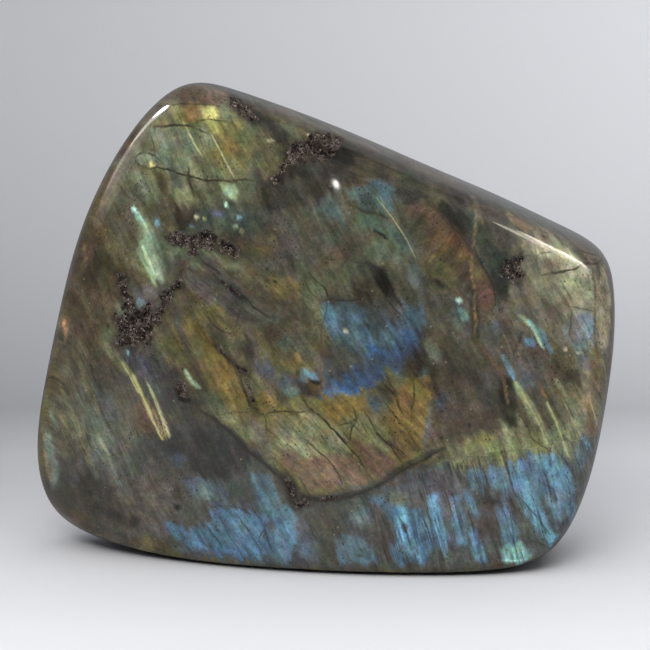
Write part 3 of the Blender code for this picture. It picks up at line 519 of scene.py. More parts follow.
    ("patch", SLATE, (13.0, 55.4), 3.0, 1.5, 5, 0.55),
    ("streak", SOOT, [(10.5, 65.4), (12.0, 64.2)], 0.5, 0.9),
    ("patch", CREAM, (5.9, 63.1), 0.6, 0.55, 0, 0.9),
    # round the gold eye
    ("patch", CHARCOAL, (-19.4, 59.2), 1.6, 3.0, 20, 0.8),
    ("patch", SEA_GREEN, (-8.9, 58.9), 2.6, 1.7, 0, 0.75),
    ("patch", FERN, (-7.3, 54.1), 3.7, 2.4, 8, 0.8),
    ("patch", GOLD, (-7.1, 54.1), 2.5, 1.4, 8, 0.9),
    ("patch", LAKE_BLUE, (-3.8, 51.7), 2.2, 1.2, 30, 0.85),
    ("patch", SLATE_BLUE, (-15.0, 53.5), 2.6, 2.2, -50, 0.7),
    ("patch", SLATE_BLUE, (-8.9, 49.8), 4.4, 1.3, -14, 0.7),
    ("patch", SPRUCE, (-7.6, 47.3), 2.8, 1.0, -10, 0.7),
    ("patch", SOOT, (-2.0, 50.2), 1.3, 0.6, 10, 0.9),
    ("patch", UMBER, (-3.5, 47.6), 1.2, 1.6, 0, 0.75),
    ("patch", BODY, (-25.0, 60.9), 5.2, 2.2, -30, 0.6),
    # the kidney's left arm
    ("panel", GOLD, [(-36.1, 64.6), (-32.5, 65.7), (-29.4, 61.8), (-25.8, 57.8), (-22.2, 53.3),
        (-20.7, 49.0), (-19.1, 44.7), (-18.6, 41.7), (-22.2, 41.6), (-26.3, 44.0), (-29.4, 48.5),
        (-32.0, 54.6), (-34.5, 60.1)], 0.6),
    ("patch", GOLD, (-25.8, 51.7), 2.6, 5.6, 24, 0.75),
    ("patch", FERN, (-32.5, 58.9), 1.4, 3.6, 30, 0.55),
    ("patch", MOSS, (-27.4, 43.7), 4.2, 2.8, -40, 0.8),
    ("patch", KHAKI, (-17.6, 49.9), 3.0, 2.2, -40, 0.75),
    ("patch", GOLD, (-14.5, 44.9), 2.6, 2.2, 0, 0.8),
    ("patch", KHAKI, (-23.3, 40.0), 3.6, 1.4, -20, 0.6),
    # the kidney
    ("panel", GOLD, [(-1.0, 45.6), (4.4, 46.5), (9.5, 47.8), (12.8, 48.8), (16.6, 46.3), (16.1, 42.8),
        (12.5, 42.8), (8.5, 42.2), (3.9, 40.6), (0.8, 42.1)], 0.9),
    ("patch", FERN, (13.5, 45.8), 3.4, 3.2, 0, 0.8),
    ("patch", STEEL_BLUE, (13.8, 45.5), 2.0, 1.9, 0, 0.85),
    ("patch", KHAKI, (18.1, 51.9), 3.2, 2.4, 10, 0.8),
    ("panel", GOLD, [(17.1, 45.3), (19.6, 48.8), (23.2, 50.9), (27.3, 51.1), (26.8, 46.8), (26.8, 41.8),
        (26.0, 37.7), (24.5, 35.2), (21.2, 34.2), (18.1, 36.7), (16.1, 41.3)], 0.75),
    ("patch", AMBER, (21.7, 45.3), 2.2, 4.4, 0, 0.5),
    ("patch", WALNUT, (16.1, 48.1), 2.0, 2.6, 30, 0.75),
    ("panel", BRONZE, [(17.1, 37.2), (20.7, 34.7), (24.3, 35.2), (23.2, 32.6), (20.2, 31.1), (17.1, 33.1),
        (14.6, 36.2)], 0.85),
    ("panel", WILLOW, [(-9.9, 41.9), (-2.5, 42.3), (1.8, 38.6), (5.7, 35.6), (7.2, 32.3), (3.1, 31.7),
        (-2.0, 31.3), (-7.1, 31.2), (-10.4, 31.9), (-12.2, 33.9), (-11.2, 38.3)], 0.9),
    ("patch", REED, (2.1, 35.0), 1.9, 1.8, 0, 0.6),
    ("patch", TAUPE, (-10.4, 38.3), 1.9, 3.4, 0, 0.65),
    ("panel", KHAKI, [(4.4, 40.1), (8.5, 42.2), (12.5, 42.8), (16.1, 38.2), (17.6, 34.2), (15.6, 32.6),
        (11.0, 35.6), (7.4, 36.6)], 0.85),
    ("panel", PINK, [(-11.5, 30.8), (-5.8, 31.0), (-0.7, 31.1), (4.4, 31.5), (8.0, 31.0), (11.0, 28.0),
        (13.1, 25.5), (9.0, 24.4), (5.7, 23.8), (1.8, 22.7), (-2.0, 23.4), (-5.3, 25.3), (-8.4, 27.8)], 0.9),
    ("panel", ROSE, [(6.9, 35.6), (11.0, 35.1), (15.6, 32.6), (18.7, 31.1), (17.6, 28.0), (14.1, 26.0),
        (11.5, 28.5), (8.5, 32.6)], 0.85),
    ("patch", LILAC_GREY, (-15.6, 35.1), 2.2, 4.0, 20, 0.7),
    ("patch", SAGE, (-19.9, 38.0), 2.0, 2.4, 10, 0.75),
    ("patch", SLATE_BLUE, (7.5, 23.8), 3.6, 0.9, 8, 0.6),
    # the dark seam under the kidney
    ("streak", CHARCOAL, [(-31.5, 42.0), (-27.6, 39.8), (-24.3, 37.4), (-21.2, 34.6), (-18.1, 31.9),
        (-15.6, 29.7), (-12.2, 27.2), (-9.4, 24.7), (-6.9, 22.2), (-4.3, 20.7)], 1.5, 0.8),
    ("streak", CHARCOAL, [(-5.8, 20.7), (-1.2, 20.3), (3.1, 20.7), (6.9, 21.3), (11.0, 22.6), (14.6, 24.4)],
        1.5, 0.8),
    ("streak", CHARCOAL, [(14.1, 23.9), (17.6, 26.5), (20.7, 28.8), (24.3, 30.6), (27.8, 32.4),
        (30.9, 33.6)], 2.0, 0.75),
    ("panel", UMBER, [(-11.0, 26.7), (-8.1, 25.8), (-5.8, 22.7), (-4.0, 20.2), (-4.6, 17.3), (-6.9, 17.0),
        (-8.9, 19.5), (-10.5, 22.6)], 0.8),
    ("streak", BROWN, [(16.1, 23.4), (18.9, 24.7), (22.0, 25.5)], 0.9, 0.7),
    # the grey between the blues
    ("panel", BODY, [(-5.8, 19.9), (5.7, 20.2), (9.0, 18.2), (5.9, 12.4), (3.1, 8.4), (3.1, 3.8),
        (-1.2, 3.6), (-2.8, 8.2), (-5.1, 13.6)], 0.85),
    ("patch", STONE_GREY, (-31.8, 13.7), 4.0, 3.6, 0, 0.75),
    # the left blue
    ("panel", DIM_BLUE, [(-35.8, 23.7), (-31.6, 24.5), (-27.8, 23.6), (-24.9, 21.7), (-23.4, 19.1),
        (-24.4, 17.4), (-28.1, 16.7), (-30.7, 18.6), (-33.3, 19.8)], 0.8),
    ("patch", SPRUCE, (-28.6, 19.1), 3.0, 1.5, -10, 0.8),
    ("panel", BLUE, [(-41.8, 11.7), (-38.1, 11.5), (-34.5, 9.0), (-30.2, 12.2), (-27.6, 16.7),
        (-22.4, 16.5), (-18.7, 15.6), (-15.4, 14.2), (-13.1, 10.6), (-12.1, 3.6), (-18.8, 3.1),
        (-26.2, 3.6), (-33.0, 4.1), (-38.2, 7.0)], 0.85),
    ("patch", LAKE_BLUE, (-17.2, 14.1), 2.2, 2.6, -20, 0.7),
    ("panel", SEA_BLUE, [(-18.9, 26.1), (-14.0, 26.3), (-12.0, 22.5), (-10.7, 18.4), (-11.5, 15.5),
        (-14.1, 14.3), (-16.7, 17.8), (-18.4, 22.0)], 0.8),
    ("panel", LAKE_BLUE, [(-12.5, 16.5), (-8.4, 18.2), (-6.4, 13.3), (-6.6, 8.0), (-8.2, 3.3), (-11.8, 3.0),
        (-12.8, 10.3)], 0.85),
    ("panel", PEWTER, [(-6.9, 16.7), (-4.3, 14.7), (-1.2, 8.2), (-0.7, 3.7), (-5.9, 3.4), (-6.6, 9.3)], 0.75),
    ("patch", SEA_BLUE, (-4.1, 6.2), 1.8, 2.2, 0, 0.6),
    # the middle blue
    ("panel", SEA_BLUE, [(3.1, 10.2), (7.5, 11.4), (10.3, 9.6), (12.9, 6.8), (13.4, 3.6), (3.1, 3.3)], 0.8),
    ("patch", SPRUCE, (9.8, 15.6), 2.8, 2.8, 0, 0.75),
    ("patch", DARK_OLIVE, (9.3, 5.7), 0.9, 0.6, 0, 0.7),
    ("patch", WALNUT, (15.7, 10.0), 2.4, 3.6, 15, 0.85),
    ("panel", BLUE, [(11.5, 20.3), (16.1, 21.1), (20.2, 19.4), (23.0, 16.8), (25.3, 12.7), (25.9, 4.3),
        (18.7, 4.2), (16.4, 7.9), (18.7, 12.6), (15.6, 17.3)], 0.85),
    ("patch", SAGE, (18.9, 20.6), 2.6, 1.7, -10, 0.8),
    ("panel", ICE_BLUE, [(18.7, 18.8), (20.5, 19.1), (22.3, 14.0), (23.8, 8.8), (24.6, 5.9), (21.3, 5.6),
        (19.5, 11.3)], 0.7),
    ("patch", SEAL_BROWN, (21.0, 13.2), 0.8, 1.5, 12, 0.85),
    ("panel", BLUE, [(22.5, 18.3), (24.8, 18.3), (27.4, 12.7), (29.2, 6.9), (26.4, 4.3), (23.8, 8.8)], 0.8),
    ("panel", SKY, [(26.6, 20.9), (28.9, 21.7), (30.4, 16.5), (32.0, 11.3), (31.0, 6.4), (28.7, 8.5),
        (27.4, 15.2)], 0.85),
    ("patch", LILAC_GREY, (31.5, 16.5), 1.3, 4.6, 14, 0.7),
    ("panel", LAKE_BLUE, [(32.5, 20.9), (34.8, 21.4), (36.1, 15.2), (37.2, 8.7), (34.6, 8.2), (33.3, 14.7)],
        0.85),
    ("patch", ASH, (34.6, 5.8), 5.6, 1.6, 0, 0.75),
    ("panel", SKY, [(36.6, 13.1), (38.7, 13.1), (40.8, 8.6), (41.8, 4.6), (39.3, 4.7), (37.4, 8.4)], 0.85),
    ("panel", SEA_BLUE, [(36.0, 28.0), (40.1, 28.7), (42.2, 25.3), (40.7, 22.3), (37.6, 23.1)], 0.8),
    ("panel", LAKE_BLUE, [(36.0, 22.9), (37.6, 22.3), (39.1, 18.2), (39.7, 16.1), (37.6, 17.2),
        (36.3, 20.3)], 0.7),
    # the yellow-green band over the right blue
    ("panel", KHAKI, [(32.2, 31.6), (35.5, 34.4), (39.6, 36.1), (43.9, 37.8), (48.3, 36.4), (51.6, 37.9),
        (57.1, 35.2), (60.0, 32.0), (57.6, 30.5), (53.0, 29.9), (49.1, 29.5), (45.2, 29.6), (41.4, 29.7),
        (37.0, 27.7), (33.7, 28.3)], 0.85),
    ("panel", LIME, [(39.6, 35.8), (43.7, 37.0), (45.2, 34.0), (46.3, 30.4), (42.2, 30.4), (40.6, 33.0)],
        0.75),
    ("panel", PALE_WILLOW, [(46.0, 36.5), (47.3, 36.5), (48.8, 33.4), (49.6, 31.3), (47.3, 31.4)], 0.8),
    ("streak", BROWN, [(44.4, 37.5), (46.0, 33.9), (47.0, 29.3)], 1.0, 0.8),
    ("patch", WILLOW, (35.2, 30.0), 2.2, 1.6, 0, 0.75),
    # the right blue
    ("panel", LAKE_BLUE, [(41.4, 28.9), (46.5, 28.3), (48.6, 23.9), (47.6, 20.6), (44.8, 22.5),
        (42.4, 25.3)], 0.8),
    ("panel", SKY, [(47.6, 29.3), (51.9, 28.7), (53.3, 23.8), (55.4, 19.8), (57.3, 14.5), (59.2, 10.3),
        (60.0, 9.9), (58.0, 7.4), (54.4, 12.0), (51.0, 17.4), (48.4, 22.6)], 0.85),
    ("panel", LAKE_BLUE, [(52.7, 31.5), (57.9, 32.3), (61.6, 28.5), (64.3, 24.4), (65.5, 18.7),
        (64.5, 13.1), (61.3, 11.4), (58.9, 14.4), (57.0, 19.7), (54.3, 22.4), (52.2, 27.6)], 0.85),
    ("patch", ICE_BLUE, (58.7, 29.2), 2.4, 2.0, -40, 0.75),
    ("patch", PALE_BLUE, (59.8, 20.1), 3.0, 2.2, 10, 0.7),
    ("panel", LAKE_BLUE, [(44.3, 20.7), (46.3, 20.1), (49.0, 14.9), (50.1, 8.3), (46.7, 7.6), (44.8, 13.7)],
        0.7),
    ("patch", WALNUT, (42.7, 19.9), 2.8, 3.0, 0, 0.85),
    ("patch", SOOT, (43.5, 19.9), 1.2, 1.3, 0, 0.8),
    ("patch", WALNUT, (42.0, 13.5), 3.2, 2.6, -10, 0.85),
    ("patch", BROWN, (50.2, 17.7), 1.8, 3.2, 25, 0.8),
    ("patch", WALNUT, (61.8, 13.5), 2.0, 2.6, 10, 0.8),
    ("patch", ASH, (53.7, 11.0), 2.4, 3.4, 30, 0.75),
    ("panel", CYAN, [(45.7, 7.1), (48.5, 8.9), (50.8, 9.1), (53.5, 6.2), (54.2, 3.6), (50.7, 3.3),
        (46.2, 3.9)], 0.88),
    ("streak", PALE_CYAN, [(46.2, 4.4), (49.1, 4.0), (52.3, 4.0)], 0.6, 0.7),
    # right of the vein
    ("patch", LAKE_BLUE, (52.8, 60.1), 0.9, 1.8, 0, 0.75),
    ("streak", CHARCOAL, [(50.8, 62.7), (49.7, 59.4), (48.0, 56.2)], 0.5, 0.8),
    ("streak", SKY, [(45.9, 57.0), (47.2, 54.2), (48.7, 50.9)], 1.3, 0.88),
    ("patch", PEWTER, (52.3, 51.1), 2.4, 2.2, 0, 0.75),
    ("streak", PALE_WILLOW, [(49.3, 49.6), (51.6, 46.0), (54.2, 41.6), (57.3, 34.9)], 2.2, 0.85),
    ("streak", STRAW_GREEN, [(57.3, 44.8), (59.4, 40.2), (61.2, 35.5), (63.1, 30.7)], 0.9, 0.85),
    ("streak", WILLOW, [(59.6, 50.4), (61.9, 46.5), (64.1, 42.3), (66.0, 37.3), (67.6, 33.7)], 1.9, 0.82),
    ("streak", BROWN, [(60.6, 47.3), (63.3, 42.1), (65.7, 36.2)], 0.3, 0.7),
    ("streak", ORANGE, [(55.2, 49.7), (56.2, 47.7), (57.5, 45.8)], 0.7, 0.8),
    ("streak", UMBER, [(56.2, 48.4), (57.8, 45.8), (59.6, 43.2)], 0.4, 0.8),
    ("patch", TAWNY, (68.6, 41.7), 1.8, 3.8, -8, 0.75),
    ("patch", TAWNY, (70.6, 51.8), 1.5, 5.2, 0, 0.75),
    ("patch", UMBER, (64.0, 51.2), 2.4, 2.0, -10, 0.88),
    ("patch", CREAM, (65.3, 57.0), 0.5, 0.3, 0, 0.9),
    ("patch", CREAM, (61.9, 58.1), 0.5, 0.5, 0, 0.8),
    ("patch", BROWN, (58.8, 54.9), 2.6, 1.6, -20, 0.75),
    ("patch", PEWTER, (66.6, 53.6), 1.4, 2.8, 20, 0.7),
    ("patch", STEEL_BLUE, (66.0, 31.5), 3.0, 3.4, 10, 0.75),
    ("streak", LAKE_BLUE, [(66.5, 35.7), (68.2, 33.4), (69.4, 30.9)], 0.9, 0.7),
    ("patch", TAUPE, (67.8, 22.2), 1.8, 6.0, -14, 0.6),
    # between the kidney and the vein
    ("patch", SAGE, (27.8, 58.7), 2.2, 2.4, 0, 0.8),
    ("patch", SEAL_BROWN, (24.2, 57.4), 2.2, 2.8, 0, 0.85),
    ("patch", SPRUCE, (25.7, 52.9), 1.1, 1.6, 0, 0.8),
    ("patch", SLATE_BLUE, (29.8, 46.0), 2.3, 1.5, 0, 0.8),
    ("streak", PEWTER, [(27.3, 44.5), (27.0, 39.5), (25.8, 34.2)], 1.3, 0.7),
    ("patch", ASH, (42.6, 49.5), 3.2, 2.4, 0, 0.7),
    ("patch", SOOT, (37.3, 39.4), 0.5, 0.5, 0, 0.8),
    ("patch", SOOT, (30.4, 36.2), 0.5, 0.4, 0, 0.8),
    ("patch", WALNUT, (46.4, 63.8), 2.6, 2.2, 0, 0.4),
    ("patch", DIM_BLUE, (44.4, 63.8), 1.5, 1.6, 0, 0.6),
    # thin washes over wide areas
    ("panel", INK_GREEN, [(-15.5, 100.7), (-5.8, 103.7), (1.3, 110.5), (14.8, 107.3), (27.6, 101.3),
        (26.8, 95.8), (20.1, 95.8), (14.6, 100.8), (4.4, 100.3), (0.6, 96.8), (-8.4, 92.0), (-15.5, 91.9)],
        0.60),
    ("panel", SOOT, [(6.9, 85.9), (18.4, 82.2), (27.3, 80.4), (28.3, 65.9), (24.7, 50.9), (19.6, 55.9),
        (23.4, 63.4), (18.4, 68.4), (6.9, 66.9), (0.6, 70.9), (4.4, 78.4)], 0.30),
    ("panel", CHARCOAL, [(-0.2, 70.9), (6.9, 71.4), (19.6, 66.4), (25.7, 63.4), (25.7, 58.4), (19.6, 52.9),
        (6.9, 47.8), (-0.2, 47.7), (4.4, 55.8), (0.8, 63.3)], 0.26),
    ("streak", SOOT, [(11.0, 80.4), (13.3, 78.4), (15.0, 74.9), (16.1, 71.7)], 2.0, 0.85),
    ("streak", SOOT, [(8.4, 73.4), (11.0, 72.4), (12.5, 69.9)], 0.9, 0.8),
    ("streak", SOOT, [(16.1, 73.4), (18.4, 71.5), (20.1, 69.4)], 0.7, 0.8),
    ("panel", INK_GREEN, [(42.5, 94.9), (47.0, 93.2), (48.7, 85.7), (48.2, 75.8), (45.1, 70.8),
        (43.6, 80.3), (39.5, 88.8)], 0.5),
    ("panel", LIME, [(-40.8, 117.9), (-23.3, 118.9), (-15.5, 108.1), (-18.6, 101.1), (-27.5, 101.5),
        (-34.0, 110.3), (-42.0, 112.5)], 0.22),
    ("panel", MUSTARD, [(-50.0, 106.9), (-39.3, 110.2), (-18.6, 100.6), (-19.8, 95.6), (-34.0, 92.9),
        (-47.1, 97.4)], 0.20),
    ("panel", MINT, [(-48.9, 92.8), (-46.8, 93.4), (-44.1, 88.6), (-41.7, 82.1), (-41.2, 75.6),
        (-43.1, 73.5), (-45.4, 76.9), (-47.2, 83.4)], 0.34),
    ("panel", UMBER, [(-40.2, 96.2), (-37.1, 96.8), (-32.4, 95.4), (-30.4, 92.4), (-32.4, 89.9),
        (-38.1, 89.3)], 0.40),
    # painted highlight: pale reed and cream washes over the right shoulder, where the lamp's highlight falls
    ("panel", REED, [(51.3, 84.6), (60.6, 82.9), (68.9, 78.2), (69.4, 68.9), (63.7, 65.9), (55.4, 70.6),
        (50.2, 78.2)], 0.36),
    ("panel", CREAM, [(51.3, 86.1), (56.8, 84.7), (62.7, 81.9), (68.4, 78.5), (68.9, 74.3), (64.2, 76.4),
        (58.0, 79.6), (52.8, 82.7)], 0.42),
]

# Dark hairline cracks, each with its width in millimetres and its strength
CRACKS = [
    ([(-44.4, 113.0), (-42.0, 113.2), (-39.3, 113.8), (-36.7, 114.0), (-34.1, 113.6), (-31.5, 112.6),
        (-29.4, 111.9)], 0.42, 0.9),
    ([(-34.1, 113.6), (-32.2, 114.9), (-29.4, 115.5), (-26.3, 115.4), (-23.2, 114.7)], 0.34, 0.8),
    ([(-40.0, 118.6), (-36.3, 119.1), (-31.5, 119.3), (-27.9, 119.1)], 0.30, 0.6),
    ([(-49.4, 105.0), (-47.2, 103.5), (-44.5, 102.7), (-42.4, 103.3), (-39.2, 103.0), (-36.6, 102.1),
        (-34.0, 101.4), (-30.1, 100.6), (-26.3, 100.3), (-21.6, 100.6), (-18.1, 100.4)], 0.42, 0.95),
    ([(-49.1, 105.3), (-47.2, 106.2), (-44.5, 106.6), (-42.7, 106.3), (-41.3, 104.4)], 0.34, 0.85),
    ([(-52.8, 98.6), (-51.4, 97.0), (-50.0, 94.9)], 0.5, 0.8),
    ([(-44.7, 112.3), (-43.5, 109.2), (-42.7, 106.5)], 0.28, 0.6),
    ([(-34.5, 104.1), (-34.2, 101.4), (-33.5, 98.4)], 0.34, 0.8),
    ([(-47.0, 94.9), (-45.4, 93.5), (-43.9, 92.6)], 0.25, 0.5),
    ([(-24.7, 74.2), (-22.4, 72.5), (-19.6, 70.6), (-17.0, 68.1), (-14.2, 66.4)], 0.45, 0.8),
    ([(-4.0, 77.8), (-2.0, 75.8), (0.6, 74.4), (1.6, 71.6), (3.1, 70.6), (6.9, 70.7), (10.0, 70.9)],
        0.36, 0.8),
    ([(1.6, 71.6), (1.1, 67.9), (-0.2, 64.6), (-0.7, 59.5)], 0.3, 0.55),
    ([(-4.3, 74.8), (-2.8, 72.6), (-1.2, 71.1)], 0.3, 0.6),
    ([(-7.8, 80.3), (-7.6, 77.8)], 0.3, 0.6),
    ([(-30.1, 79.9), (-28.3, 78.4), (-25.7, 76.7)], 0.4, 0.7),
    ([(-30.4, 67.0), (-28.3, 64.8), (-25.8, 62.9), (-22.2, 61.4)], 0.4, 0.6),
    ([(-29.9, 60.2), (-27.6, 58.8), (-24.8, 56.0), (-21.7, 53.3), (-18.6, 51.1)], 0.5, 0.85),
    ([(-20.9, 51.8), (-20.4, 47.8), (-18.9, 44.2), (-16.6, 42.2)], 0.55, 0.85),
    ([(-26.4, 40.9), (-22.5, 41.8), (-18.6, 42.4), (-15.0, 41.8)], 0.3, 0.6),
    ([(-15.0, 41.8), (-11.4, 42.4), (-7.9, 42.7), (-4.5, 42.8), (-1.7, 42.3)], 0.36, 0.8),
    ([(-15.0, 41.8), (-14.5, 39.2), (-14.5, 36.7)], 0.3, 0.7),
    ([(-6.3, 47.3), (-3.3, 43.6), (-0.2, 40.8), (3.1, 37.8), (6.4, 34.3), (9.0, 31.3), (11.0, 28.2),
        (12.6, 26.0)], 0.45, 0.95),
    ([(11.0, 42.5), (13.6, 38.2), (15.8, 35.4), (17.9, 32.9), (19.9, 30.6)], 0.42, 0.9),
    ([(-5.3, 36.4), (-2.8, 34.1), (0.6, 30.9), (3.1, 27.9), (5.2, 24.0)], 0.32, 0.8),
    ([(8.2, 43.7), (8.7, 40.9), (7.4, 37.9), (6.9, 35.3)], 0.34, 0.8),
    ([(8.7, 41.2), (6.9, 39.7), (4.6, 39.6)], 0.3, 0.7),
    ([(9.0, 40.7), (11.0, 38.2), (13.0, 35.7)], 0.28, 0.6),
    ([(-2.5, 30.3), (-0.7, 28.8)], 0.3, 0.6),
    ([(5.4, 33.5), (8.5, 30.0), (10.5, 25.9)], 0.28, 0.6),
    ([(15.3, 50.1), (17.6, 47.8), (19.1, 45.1), (20.4, 42.5)], 0.4, 0.8),
    ([(16.6, 44.5), (18.6, 41.8), (20.2, 39.7)], 0.35, 0.7),
    ([(23.2, 51.4), (23.0, 45.8), (22.5, 40.3)], 0.4, 0.75),
    ([(15.8, 52.9), (17.6, 49.3), (19.1, 45.8)], 0.34, 0.6),
    ([(16.6, 35.7), (19.2, 33.1), (21.7, 31.6)], 0.3, 0.7),
    ([(21.2, 38.7), (23.2, 35.7), (24.8, 33.1)], 0.32, 0.7),
    ([(-31.5, 42.0), (-27.6, 39.8), (-24.3, 37.1), (-21.2, 34.4), (-18.1, 31.4), (-14.6, 28.7),
        (-11.0, 25.4), (-7.9, 21.9), (-5.8, 18.6)], 0.5, 0.85),
    ([(-5.8, 20.7), (-1.2, 20.1), (3.4, 20.7), (7.5, 21.3), (11.5, 22.6), (15.1, 24.4), (18.7, 27.0)],
        0.45, 0.7),
    ([(18.7, 27.0), (22.2, 29.1), (26.3, 31.1), (30.6, 33.4)], 0.45, 0.7),
    ([(-5.8, 25.1), (-4.3, 22.5), (-2.8, 20.8)], 0.35, 0.7),
    ([(-24.9, 17.4), (-21.3, 17.1), (-18.2, 15.4)], 0.3, 0.6),
    ([(-22.4, 15.4), (-19.3, 11.3), (-17.2, 7.4), (-15.7, 4.5)], 0.34, 0.7),
    ([(-19.2, 19.3), (-16.7, 15.2), (-14.6, 11.0), (-13.1, 6.8)], 0.34, 0.7),
    ([(-14.6, 12.9), (-16.7, 9.3), (-15.7, 6.1)], 0.3, 0.7),
    ([(-24.9, 24.8), (-23.6, 23.3), (-23.9, 19.1)], 0.25, 0.4),
    ([(-30.2, 12.2), (-28.2, 9.0), (-26.1, 5.9)], 0.3, 0.7),
    ([(-32.9, 10.3), (-30.8, 7.1), (-29.3, 4.5)], 0.3, 0.6),
    ([(-27.1, 15.1), (-24.5, 10.4), (-21.9, 5.7)], 0.26, 0.55),
    ([(-4.6, 14.7), (-2.8, 11.6), (-1.2, 9.0)], 0.34, 0.6),
    ([(14.1, 18.3), (16.1, 14.2), (17.4, 11.3)], 0.3, 0.6),
    ([(19.2, 16.8), (20.8, 12.7), (22.6, 7.5)], 0.34, 0.75),
    ([(25.3, 16.3), (27.4, 11.6), (29.0, 6.9)], 0.32, 0.7),
    ([(29.9, 26.0), (32.0, 20.4), (34.0, 14.7)], 0.3, 0.5),
    ([(39.6, 31.5), (41.1, 26.9), (42.7, 22.8)], 0.36, 0.7),
    ([(45.2, 33.4), (47.3, 27.8), (48.9, 22.1), (51.5, 17.9)], 0.45, 0.8),
    ([(48.9, 22.1), (52.5, 18.4), (55.7, 14.6), (58.9, 10.4)], 0.36, 0.7),
    ([(46.3, 20.1), (48.4, 15.9), (50.5, 12.7)], 0.3, 0.6),
    ([(53.2, 9.5), (56.3, 8.2), (59.3, 6.1)], 0.3, 0.6),
    ([(55.1, 25.0), (58.2, 22.8), (61.4, 21.0)], 0.26, 0.5),
    ([(59.7, 32.5), (62.4, 29.2), (65.1, 24.8)], 0.3, 0.6),
    ([(52.4, 36.8), (55.5, 33.7), (58.7, 32.0)], 0.3, 0.6),
    ([(56.1, 76.9), (59.2, 77.6), (61.8, 77.8), (64.4, 78.2), (67.1, 79.3), (70.4, 79.4), (72.8, 80.5)],
        0.42, 0.85),
    ([(55.4, 82.1), (58.8, 82.3)], 0.3, 0.6),
    ([(64.4, 82.7), (67.3, 81.8), (71.9, 80.7)], 0.3, 0.6),
    ([(63.4, 68.7), (66.3, 68.1), (69.2, 67.7)], 0.3, 0.7),
    ([(63.7, 67.4), (63.1, 64.2), (62.6, 60.9)], 0.28, 0.6),
    ([(53.6, 84.6), (54.6, 81.6), (54.9, 79.2)], 0.35, 0.5),
    ([(38.2, 84.6), (40.0, 80.4), (42.3, 76.8), (43.6, 73.8), (43.8, 70.3), (42.8, 68.1)], 0.3, 0.7),
    ([(28.8, 93.8), (31.3, 90.3), (34.4, 87.4), (38.0, 83.4)], 0.3, 0.5),
    ([(23.4, 83.9), (26.7, 85.4), (29.8, 86.4)], 0.25, 0.4),
    ([(17.8, 70.9), (20.6, 69.9), (23.2, 70.9)], 0.3, 0.5),
    ([(14.5, 72.2), (17.1, 69.7), (20.1, 66.4), (21.7, 63.9)], 0.34, 0.6),
    ([(-21.1, 69.0), (-21.7, 65.5), (-23.2, 62.4)], 0.28, 0.5),
    ([(5.6, 73.4), (8.4, 72.4), (11.0, 70.9)], 0.28, 0.5),
    ([(5.6, 82.2), (8.4, 80.4), (11.5, 80.4)], 0.24, 0.4),
    ([(26.5, 78.4), (24.7, 74.9), (23.2, 71.4)], 0.24, 0.4),
]

# The way the lamellae run inside each of these panels, in degrees up from level, and how streaked they are
# there; elsewhere they run at LAMELLA_TURN with LAMELLA_STREAKS
LAMELLA_TURN = -62.0
LAMELLA_STREAKS = 0.12
LAMELLA_PANELS = [
    (-74.0, 0.85, [(12.0, 28.0), (75.4, 36.2), (73.0, -0.2), (12.0, -0.2)]),
    (-46.0, 0.4, [(-5.8, 46.8), (27.3, 52.1), (29.9, 31.9), (4.4, 20.2), (-14.0, 30.0), (-15.5, 41.8)]),
    (50.0, 0.15, [(19.6, 97.8), (29.8, 92.8), (39.5, 80.4), (44.1, 70.8), (41.5, 67.1), (36.9, 71.9),
        (22.7, 82.2)]),
    (-20.0, 0.1, [(-0.7, 110.6), (37.3, 101.2), (27.3, 95.8), (1.8, 102.0)]),
    (-40.0, 0.35, [(-30.1, 85.4), (-13.5, 84.5), (-5.8, 65.8), (-23.7, 62.9), (-36.6, 75.2)]),
    (-66.0, 0.7, [(-74.2, 66.3), (-44.4, 59.7), (-38.1, 32.8), (-52.9, 16.8), (-74.4, 21.2)]),
]

# Thin bright lines on the face, each with its width in millimetres and its strength
GLINTS = [
    ([(-35.9, 114.7), (-34.6, 112.6), (-33.0, 109.6), (-31.2, 106.9)], 0.36, 0.9),
    ([(-28.6, 111.9), (-26.3, 108.0), (-24.2, 104.0), (-22.7, 101.3)], 0.34, 0.9),
    ([(13.5, 96.6), (16.6, 92.9), (19.1, 89.4), (21.7, 85.4), (23.4, 81.7)], 0.26, 0.5),
    ([(-48.7, 50.3), (-46.3, 44.7), (-44.0, 39.3), (-41.7, 34.5)], 0.30, 0.85),
    ([(-45.5, 49.1), (-43.5, 44.3), (-41.7, 39.7), (-40.4, 34.5)], 0.22, 0.7),
    ([(-45.0, 48.6), (-42.9, 43.8), (-41.2, 39.2), (-39.6, 35.1)], 0.32, 0.8),
    ([(-46.2, 83.2), (-45.4, 80.7), (-44.1, 78.0), (-43.0, 75.3)], 0.32, 0.7),
    ([(53.1, 64.4), (54.4, 61.9), (55.9, 58.8)], 0.30, 0.7),
    ([(57.3, 44.8), (59.4, 40.2), (61.2, 35.5), (63.1, 30.7)], 0.30, 0.6),
    ([(49.3, 49.6), (51.6, 46.0), (54.2, 41.6), (57.3, 34.9)], 0.32, 0.5),
    ([(61.2, 45.7), (63.8, 40.5), (66.0, 35.7)], 0.30, 0.5),
    ([(68.5, 44.8), (69.7, 41.3), (70.6, 37.9)], 0.28, 0.6),
    ([(-52.3, 54.2), (-49.7, 50.2), (-47.9, 46.2)], 0.30, 0.6),
]

